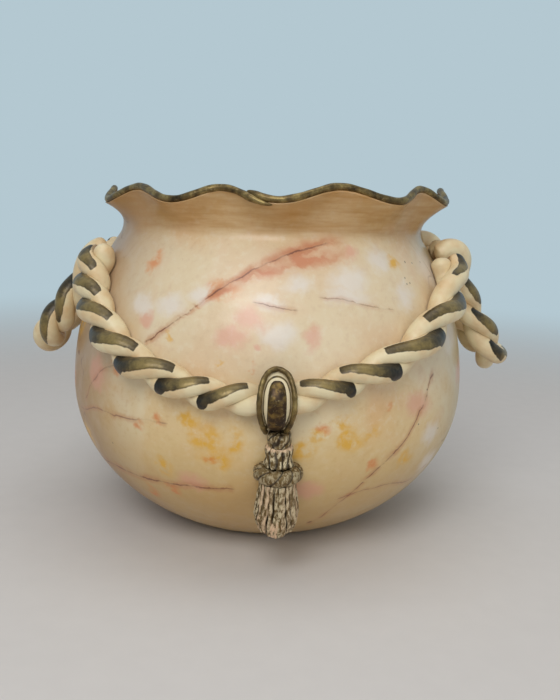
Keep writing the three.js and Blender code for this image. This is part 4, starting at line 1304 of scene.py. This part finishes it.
@dataclass
class Tassel:
    """Loop over the garland with a bead and a tongue, and under it binding, head, collar and skirt."""

    face: Face
    under_garland: float = 18.5
    over_belly: float = 15.0
    height: float = 39.0
    half_width: float = 10.2
    # Half width as a share of the widest one, share of the height
    half_outline: tuple[tuple[float, float], ...] = (
        (0.55, 0), (0.79, 0.16), (0.98, 0.38), (1, 0.55), (0.89, 0.775), (0.57, 0.94))
    cover: float = 3.0
    foot_depth: float = 7.0
    swell_height: float = 1.13
    bead_radius: float = 1.5
    rope_depth: float = 18.5
    tongue_rise: float = 2.4
    tongue_height: float = 31.0
    tongue_half_width: float = 5.5
    tongue_depth: float = 3.0
    tongue_squareness: float = 3.2
    drop: float = 1.9
    lean: float = 12.0
    aside: float = 2.8
    flattening: float = 0.8
    binding_radius: float = 7.2
    binding_thickness: float = 6.5
    head_radius: float = 8.6
    head_length: float = 12.8
    collar_radius: float = 15.4
    collar_thickness: float = 10.4
    skirt_top_radius: float = 11.8
    skirt_radius: float = 13.3
    skirt_foot_radius: float = 7.4
    skirt_length: float = 37.0
    collar_twist: float = -4.5
    skirt_strands: int = 30
    seed: int = 11

    @property
    def bottom(self) -> float:
        """Height of the bottom of the loop."""
        return WALL.widest + self.over_belly - self.under_garland

    def name(self, part: str) -> str:
        """CAD node name of a part of this tassel."""
        return f"{self.face.name.lower()}_tassel_{part}"

    def depth(self, z: np.ndarray) -> np.ndarray:
        """How far the loop's face stands off the wall at a height."""
        up = np.clip((z - self.bottom) / (self.height * self.swell_height), 0, 1)
        return self.foot_depth + (self.rope_depth + self.cover - self.foot_depth) * np.sin(np.pi * up) ** 0.7

    def outline(self, count: int) -> np.ndarray:
        """Middle line of the bead as x and z pairs, up one side and down the other."""
        half = [(wide * self.half_width, up) for wide, up in self.half_outline]
        line = ([(-x, up) for x, up in half] + [(0, 1)] + half[::-1])
        return evenly(np.array([(x, self.bottom + up * self.height) for x, up in line]), count)

    def swelling(self, outline: np.ndarray, back: np.ndarray, front: float, flatness: float,
                 steps: int = 26) -> tuple[np.ndarray, np.ndarray]:
        """Solid from the wall out to a swelling face with a rounded edge.

        Args:
            outline: Edge as x and z pairs.
            back: Whether the back lies on the wall (0) or on the loop's face (1).
            front: Thickness over the back, or 0 for the loop's own face.
            flatness: 2 for a round face and more for a flatter one.
            steps: Rings from the edge to the middle of the face.

        Returns:
            Rings of points, and the size of each ring as a share of the outline.
        """
        turn = np.linspace(0, np.pi / 2 * 0.985, steps)
        size = np.concatenate([[1.0], np.cos(turn) ** (2 / flatness)])
        share = np.concatenate([[0.0], np.sin(turn) ** (2 / flatness)])
        middle = outline.mean(0)
        flat = middle + (outline[None] - middle) * size[:, None, None]
        z = flat[..., 1]
        low = np.where(back > 0, self.depth(z), 0.3)
        high = self.depth(z) + front
        y = -(WALL.radius(z) + lerp(low, high, share[:, None]))
        return np.stack([flat[..., 0], y, z], -1), size

    def build_loop(self, clay: bpy.types.Material, bronze: bpy.types.Material,
                   pooled: bpy.types.Material) -> None:
        """Makes the pad, its bead and the tongue."""
        line = self.outline(72)
        inward = line.mean(0) - line
        pad, size = self.swelling(line + unit(inward) * (self.bead_radius * 0.6), 0, 0.0, 5)
        rise = (pad[..., 2] - self.bottom) / self.height
        piece = make_mesh(f"{self.name('loop')}_pad", half_turn(pad, self.face),
                          marks={"edge": size[:, None], "rise": rise})
        finish_piece(piece, clay, "cream_clay", self.name("loop"))

        fine = self.outline(160)
        lift = self.depth(fine[:, 1]) - self.bead_radius
        path = np.stack([fine[:, 0], -(WALL.radius(fine[:, 1]) + lift), fine[:, 1]], 1)
        uneven = 1 + 0.05 * np.sin(np.arange(160) * 0.35) + 0.04 * np.sin(np.arange(160) * 0.83 + 1)
        rings = tube(path, self.bead_radius * 1.06 * uneven, 16)
        piece = make_mesh(f"{self.name('loop_bead')}_rolled", half_turn(rings, self.face))
        finish_piece(piece, bronze, "bronze_wash", self.name("loop_bead"))

        turn = np.linspace(0, 2 * np.pi, 64, endpoint=False)
        squared = 2 / self.tongue_squareness
        x = np.sign(np.cos(turn)) * np.abs(np.cos(turn)) ** squared
        z = np.sign(np.sin(turn)) * np.abs(np.sin(turn)) ** squared
        taper = 1 + 0.06 * np.sin(turn) * -1
        oval = np.stack([self.tongue_half_width * x * taper,
                         self.bottom + self.tongue_rise + self.tongue_height / 2 * (1 + z)], 1)
        tongue, size = self.swelling(oval, 1, self.tongue_depth, 2.2)
        piece = make_mesh(f"{self.name('tongue')}_lobe", half_turn(tongue, self.face),
                          marks={"edge": size[:, None]})
        finish_piece(piece, pooled, "bronze_wash", self.name("tongue"))

    def seated(self, rings: np.ndarray, depth: float | None = None) -> np.ndarray:
        """Flattens and tips points of the lower tassel and sets them under the loop, off the wall.

        Args:
            rings: Points about the tassel's own upright axis.
            depth: Share of the depth that is kept, or nothing for the tassel's flattening.

        Returns:
            The points in the frame of the pot.
        """
        tip = math.radians(self.lean)
        deep = rings[..., 1] * (self.flattening if depth is None else depth)
        y = deep * math.cos(tip) - rings[..., 2] * math.sin(tip)
        z = deep * math.sin(tip) + rings[..., 2] * math.cos(tip)
        set_off = float(WALL.radius(self.bottom)) + self.binding_radius * 0.8
        points = np.stack([rings[..., 0] + self.aside, y - set_off, z + self.bottom - self.drop], -1)
        return half_turn(WALL.press(points, 0.1), self.face)

    def turned(self, outline: list[tuple[float, float]], segments: int, grooves: int, depth: float,
               twist: float = 0.0) -> tuple[np.ndarray, np.ndarray]:
        """Turned form with ragged upright grooves.

        Args:
            outline: Radius and height pairs from the top down.
            segments: Points of each ring.
            grooves: Grooves round the form.
            depth: Depth of a groove as a share of the radius.
            twist: How far the grooves lean over the height, in grooves.

        Returns:
            Rings of points, and how deep in a groove each one lies, from 0 to 1.
        """
        line = evenly(np.array(outline), 40)
        turn = np.linspace(0, 2 * np.pi, segments, endpoint=False)[None, :]
        down = (line[0, 1] - line[:, 1])[:, None] / max(line[0, 1] - line[-1, 1], 1e-6)
        sway = 0.9 * np.sin(3 * turn + 5 * down) + 0.5 * np.sin(7 * turn - 4 * down)
        groove = 0.5 - 0.5 * np.cos(grooves * turn + 2 * np.pi * twist * down + sway)
        groove = groove ** 2
        radius = line[:, :1] * (1 - depth * groove)
        rings = np.stack([radius * np.cos(turn), radius * np.sin(turn),
                          np.broadcast_to(line[:, 1:], radius.shape)], -1)
        return rings, groove

    def build_lower(self, rubbed: bpy.types.Material) -> None:
        """Makes binding, head, collar and skirt."""
        half = self.binding_thickness / 2
        head_top = -self.binding_thickness - 0.3
        collar_top = head_top - self.head_length - 0.3
        collar_middle = collar_top - self.collar_thickness / 2
        skirt_top = collar_top - self.collar_thickness - 0.3

        binding, groove = self.turned([
            (0.6, 2.4), (self.binding_radius * 0.86, 2.4), (self.binding_radius, 0.8),
            (self.binding_radius, -half * 1.3), (self.binding_radius * 0.86, -self.binding_thickness),
            (0.6, -self.binding_thickness)], 96, 7, 0.05, 1.2)
        piece = make_mesh(f"{self.name('binding')}_ring", self.seated(binding, 1.0),
                          marks={"groove": groove, "wear": 0.6})
        finish_piece(piece, rubbed, "bronze_wash", self.name("binding"))

        head, groove = self.turned([
            (0.6, head_top + 0.4), (self.head_radius * 0.9, head_top + 0.4),
            (self.head_radius, head_top - 1.6),
            (self.head_radius * 0.93, head_top - self.head_length * 0.6),
            (self.head_radius * 1.04, head_top - self.head_length),
            (0.6, head_top - self.head_length)], 128, 12, 0.09)
        seam = 0.8 * smooth(head[..., 2], head_top - 1.7, head_top - 0.7)
        piece = make_mesh(f"{self.name('head')}_bundle", self.seated(head),
                          marks={"groove": groove * (1 - seam), "pale": seam, "wear": 1.0})
        finish_piece(piece, rubbed, "bronze_wash", self.name("head"))

        thick = self.collar_thickness / 2
        turn = np.linspace(0, 2 * np.pi, 216, endpoint=False)[:, None]
        around = np.linspace(0, 2 * np.pi, 56, endpoint=False)[None, :]
        wound = around + self.collar_twist * turn + 0.25 * np.sin(3 * turn)
        ridge = np.abs(np.cos(wound))
        small = thick * (0.74 + 0.26 * ridge ** 0.6)
        ring = self.collar_radius - thick
        reach = ring + small * np.cos(around)
        rings = np.stack([reach * np.cos(turn), reach * np.sin(turn),
                          collar_middle + small * np.sin(around)], -1)
        piece = make_mesh(f"{self.name('collar')}_twist", self.seated(rings), wrap=True,
                          marks={"groove": np.clip(1 - ridge / 0.42, 0, 1), "wear": 0.45})
        finish_piece(piece, rubbed, "bronze_wash", self.name("collar"))
        self.build_skirt(rubbed, skirt_top)

    def build_skirt(self, rubbed: bpy.types.Material, top: float) -> None:
        """Makes the skirt: ragged strands of unlike length round a core.

        Args:
            rubbed: Bronze rubbed over cream clay.
            top: Height of the skirt's top before the tassel is seated.
        """
        length = self.skirt_length
        core, groove = self.turned([
            (0.6, top + 1.5), (self.skirt_top_radius * 0.8, top + 1.5),
            (self.skirt_top_radius * 0.86, top - 4),
            (self.skirt_radius * 0.84, top - length * 0.6), (self.skirt_radius * 0.74, top - length * 0.84),
            (self.skirt_foot_radius * 0.8, top - length * 0.94), (0.6, top - length * 0.94)], 144, 13, 0.12)
        # The core is marked as groove all over, so the painted shade of the hollows darkens it behind the
        # strands
        piece = make_mesh(f"{self.name('skirt')}_core", self.seated(core),
                          marks={"groove": 0.6 + 0.4 * groove, "pale": 0.0, "wear": 0.4})
        finish_piece(piece, rubbed, "bronze_wash", self.name("skirt"))
        random = np.random.default_rng(self.seed)
        bundles, grooves, pales = [], [], []
        share = np.linspace(0, 1, 48)
        for k in range(self.skirt_strands):
            angle = 2 * np.pi * (k + random.uniform(-0.25, 0.25)) / self.skirt_strands
            beside = math.cos(angle) ** 2
            own = length * random.uniform(0.93, 1.0) * (1 - 0.12 * beside)
            flare = lerp(self.skirt_top_radius * 0.88, self.skirt_radius * 0.94, smooth(share, 0, 0.65))
            flare = lerp(flare, self.skirt_foot_radius + 2.5 * beside, 0.8 * smooth(share, 0.72, 1.08))
            fan = 0.3 * math.cos(angle) * smooth(share, 0.45, 1.0) * (math.sin(angle) < 0)
            at = angle + fan + random.uniform(-1, 1) * 0.06 * np.sin(np.pi * share * random.uniform(1.2, 2.4))
            path = np.stack([flare * np.cos(at), flare * np.sin(at), top - own * share], 1)
            tip = np.sqrt(np.clip((1 - share) / 0.05, 0.004, 1))
            thick = random.uniform(1.2, 1.8) * (0.8 + 0.3 * share) * tip
            lumps = 1 + 0.12 * np.sin(share * random.uniform(14, 30) + random.uniform(0, 6))
            rings = tube(path, thick * lumps, 12)
            bundles.append(self.seated(rings))
            reach = np.linalg.norm(rings[..., :2], axis=-1)
            grooves.append(np.clip((flare[:, None] + thick[:, None] - reach) / 1.7, 0, 1))
            pales.append(np.full((len(share), 1), random.choice([0.0, 0.0, 0.15, 0.55])))
        for spread in (-1.0, -0.52, 0.0, 0.52, 1.0):
            turn = -np.pi / 2 + spread * 0.42 * smooth(share, 0, 0.9)
            flare = lerp(self.skirt_radius * 0.96, self.skirt_foot_radius * 1.15, smooth(share, 0.35, 1.1))
            low = length * lerp(0.5, 1.0 - 0.03 * abs(spread), share)
            path = np.stack([flare * np.cos(turn), flare * np.sin(turn), top - low], 1)
            thick = lerp(0.5, 1.5, smooth(share, 0, 0.7)) * np.sqrt(np.clip((1 - share) / 0.08, 0.004, 1))
            rings = tube(path, thick, 14)
            bundles.append(self.seated(rings))
            reach = np.linalg.norm(rings[..., :2], axis=-1)
            grooves.append(np.clip((flare[:, None] + thick[:, None] - reach - 1.2) / 1.4, 0, 1))
            pales.append(0.9 * smooth(share, 0.1, 0.55)[:, None])
        piece = make_mesh(f"{self.name('skirt')}_strands", bundles,
                          marks={"groove": grooves, "pale": pales, "wear": [0.8] * len(bundles)})
        finish_piece(piece, rubbed, "bronze_wash", self.name("skirt"))

    def build(self, clay: bpy.types.Material, bronze: bpy.types.Material, pooled: bpy.types.Material,
              rubbed: bpy.types.Material) -> None:
        """Makes all seven pieces of the tassel.

        Args:
            clay: Cream clay with bronze brushed into its edges.
            bronze: Bronze wash.
            pooled: Bronze laid on thick, for the tongue.
            rubbed: Bronze rubbed over cream clay.
        """
        self.build_loop(clay, bronze, pooled)
        self.build_lower(rubbed)


# Studio


@dataclass
class Studio:
    """Pale floor that fades into a pale backdrop, soft lights and the camera of the photograph."""

    distance: float = 608.0
    height: float = 230.0
    swing: float = -2.0
    horizon: float = 210.0
    axis_x: float = 268.5
    roll: float = 1.9
    focal: float = 800.0
    frame_width: int = 560
    frame_height: int = 700
    backdrop: str = "#B4C8D1"
    floor_tone: str = "#D6D3D0"
    floor_light: str = "#DBD8D5"
    sky_light: str = "#FFFFFF"
    sky_strength: float = 0.32

    def camera(self) -> None:
        """Sets the camera where the photograph was taken from."""
        data = bpy.data.cameras.new("photograph")
        data.sensor_width = 36.0
        data.lens = self.focal * data.sensor_width / self.frame_height
        data.clip_start = 0.01
        camera = bpy.data.objects.new("photograph", data)
        bpy.context.scene.collection.objects.link(camera)
        swing = math.radians(self.swing)
        position = np.array([self.distance * math.sin(swing), -self.distance * math.cos(swing), self.height])
        ahead = np.array([-math.sin(swing), math.cos(swing), 0.0])
        right = np.array([math.cos(swing), math.sin(swing), 0.0])
        yaw = math.atan((self.frame_width / 2 - self.axis_x) / self.focal)
        pitch = math.atan((self.frame_height / 2 - self.horizon) / self.focal)
        ahead, right = (ahead * math.cos(yaw) + right * math.sin(yaw),
                        right * math.cos(yaw) - ahead * math.sin(yaw))
        rise = np.array([0.0, 0.0, 1.0])
        look = ahead * math.cos(pitch) - rise * math.sin(pitch)
        up = rise * math.cos(pitch) + ahead * math.sin(pitch)
        roll = math.radians(self.roll)
        x_axis = math.cos(roll) * right + math.sin(roll) * up
        y_axis = -math.sin(roll) * right + math.cos(roll) * up
        matrix = Matrix.Identity(4)
        for row in range(3):
            matrix[row][:] = (x_axis[row], y_axis[row], -look[row], position[row] * MM)
        camera.matrix_world = matrix
        bpy.context.scene.camera = camera

    def lamp(self, name: str, place: tuple[float, float, float], size: float, power: float,
             tint: str = "#FFFFFF") -> None:
        """Adds one soft square lamp aimed at the pot.

        Args:
            name: Name of the lamp.
            place: Where it hangs, in metres.
            size: Length of its side, in metres.
            power: Power in watts.
            tint: Colour of its light.
        """
        data = bpy.data.lights.new(name, "AREA")
        data.size = size
        data.energy = power
        data.color = linear(tint)[:3]
        lamp = bpy.data.objects.new(name, data)
        bpy.context.scene.collection.objects.link(lamp)
        look = unit(np.array([0, 0, 0.13]) - np.array(place))
        side = unit(np.cross(look, [0, 0, 1]))
        top = np.cross(side, look)
        matrix = Matrix.Identity(4)
        for row in range(3):
            matrix[row][:] = (side[row], top[row], -look[row], place[row])
        lamp.matrix_world = matrix

    def world(self) -> None:
        """Even light from all round, seen as the pale backdrop."""
        world = bpy.data.worlds.new("studio")
        bpy.context.scene.world = world
        world.use_nodes = True
        tree = world.node_tree
        tree.nodes.clear()
        ray = add_node(tree, "LightPath")
        seen = add_node(tree, "Math", {0: ray.outputs["Is Camera Ray"], 1: ray.outputs["Is Glossy Ray"]},
                        operation="MAXIMUM")
        seen = add_node(tree, "Math", {0: seen, 1: ray.outputs["Is Transmission Ray"]}, operation="MAXIMUM")
        light = add_node(tree, "Background", {"Color": linear(self.sky_light), "Strength": self.sky_strength})
        wall = add_node(tree, "Background", {"Color": linear(self.backdrop), "Strength": 1.0})
        both = add_node(tree, "MixShader", {0: seen, 1: light, 2: wall})
        add_node(tree, "OutputWorld", {"Surface": both})

    def floor(self) -> None:
        """Round matt floor, which fades into the backdrop far from the pot."""
        turn = np.linspace(0, 2 * np.pi, 96, endpoint=False)
        rings = np.array([[(r * math.cos(a), r * math.sin(a), -0.05) for a in turn]
                          for r in (1.0, 400.0, 1500.0, 9000.0)])
        floor = make_mesh("floor", rings, caps=False)
        material, tree = new_material("floor_matt_card")
        place = add_node(tree, "VectorMath", {0: add_node(tree, "TexCoord").outputs["Object"]},
                         operation="LENGTH")
        far = add_node(tree, "MapRange", {"Value": place, "From Min": 0.45, "From Max": 1.6},
                       interpolation_type="SMOOTHSTEP")
        grain = add_node(tree, "TexNoise", {"Vector": add_node(tree, "TexCoord").outputs["Object"],
                                            "Scale": 60.0, "Detail": 3.0})
        tone = add_node(tree, "Mix", {"Factor": grain.outputs[0], "A": linear(self.floor_tone),
                                      "B": linear(self.floor_light)}, data_type="RGBA")
        bump = add_node(tree, "Bump", {"Height": grain.outputs[0], "Strength": 0.05, "Distance": 0.001})
        card = add_node(tree, "BsdfPrincipled", {"Base Color": tone, "Roughness": 0.85, "Normal": bump})
        glow = add_node(tree, "Emission", {"Color": linear(self.backdrop), "Strength": 1.0})
        both = add_node(tree, "MixShader", {0: far, 1: card, 2: glow})
        add_node(tree, "OutputMaterial", {"Surface": both})
        floor.data.materials.append(material)

    def build(self) -> None:
        """Sets up camera, lights, world and floor."""
        scene = bpy.context.scene
        scene.view_settings.view_transform = "Standard"
        self.camera()
        self.world()
        self.lamp("key_softbox", (-0.35, -1.45, 1.25), 0.9, 13.5)
        self.lamp("top_softbox", (0.1, -0.2, 1.7), 1.2, 6.0)
        self.lamp("fill_softbox", (0.9, -1.4, 0.5), 0.8, 2.0)
        self.floor()


# Making the object


def main() -> None:
    """Builds the studio and every piece of the vase in order."""
    logging.basicConfig(level=logging.INFO, format="%(message)s")
    Studio().build()
    glaze = MarbledGlaze().build()
    clay = StrokedClay().build()
    bronze = BronzeWash().build()
    pooled = BronzeWash("bronze_paint_pooled", "#20150A", "#3F2C16", "#8F7238").build()
    edged = LoopClay().build()
    rubbed = RubbedBronze().build()
    bowl = Bowl()
    bowl.build(glaze)
    RimBead(bowl).build(bronze)
    for face in Face:
        Garland(face, Side.LEFT).build(clay)
        Garland(face, Side.RIGHT).build(clay)
        Tassel(face).build(edged, bronze, pooled, rubbed)
    for side in Side:
        Handle(side).build(clay)
    bpy.context.view_layer.update()


if __name__ == "__main__":
    main()
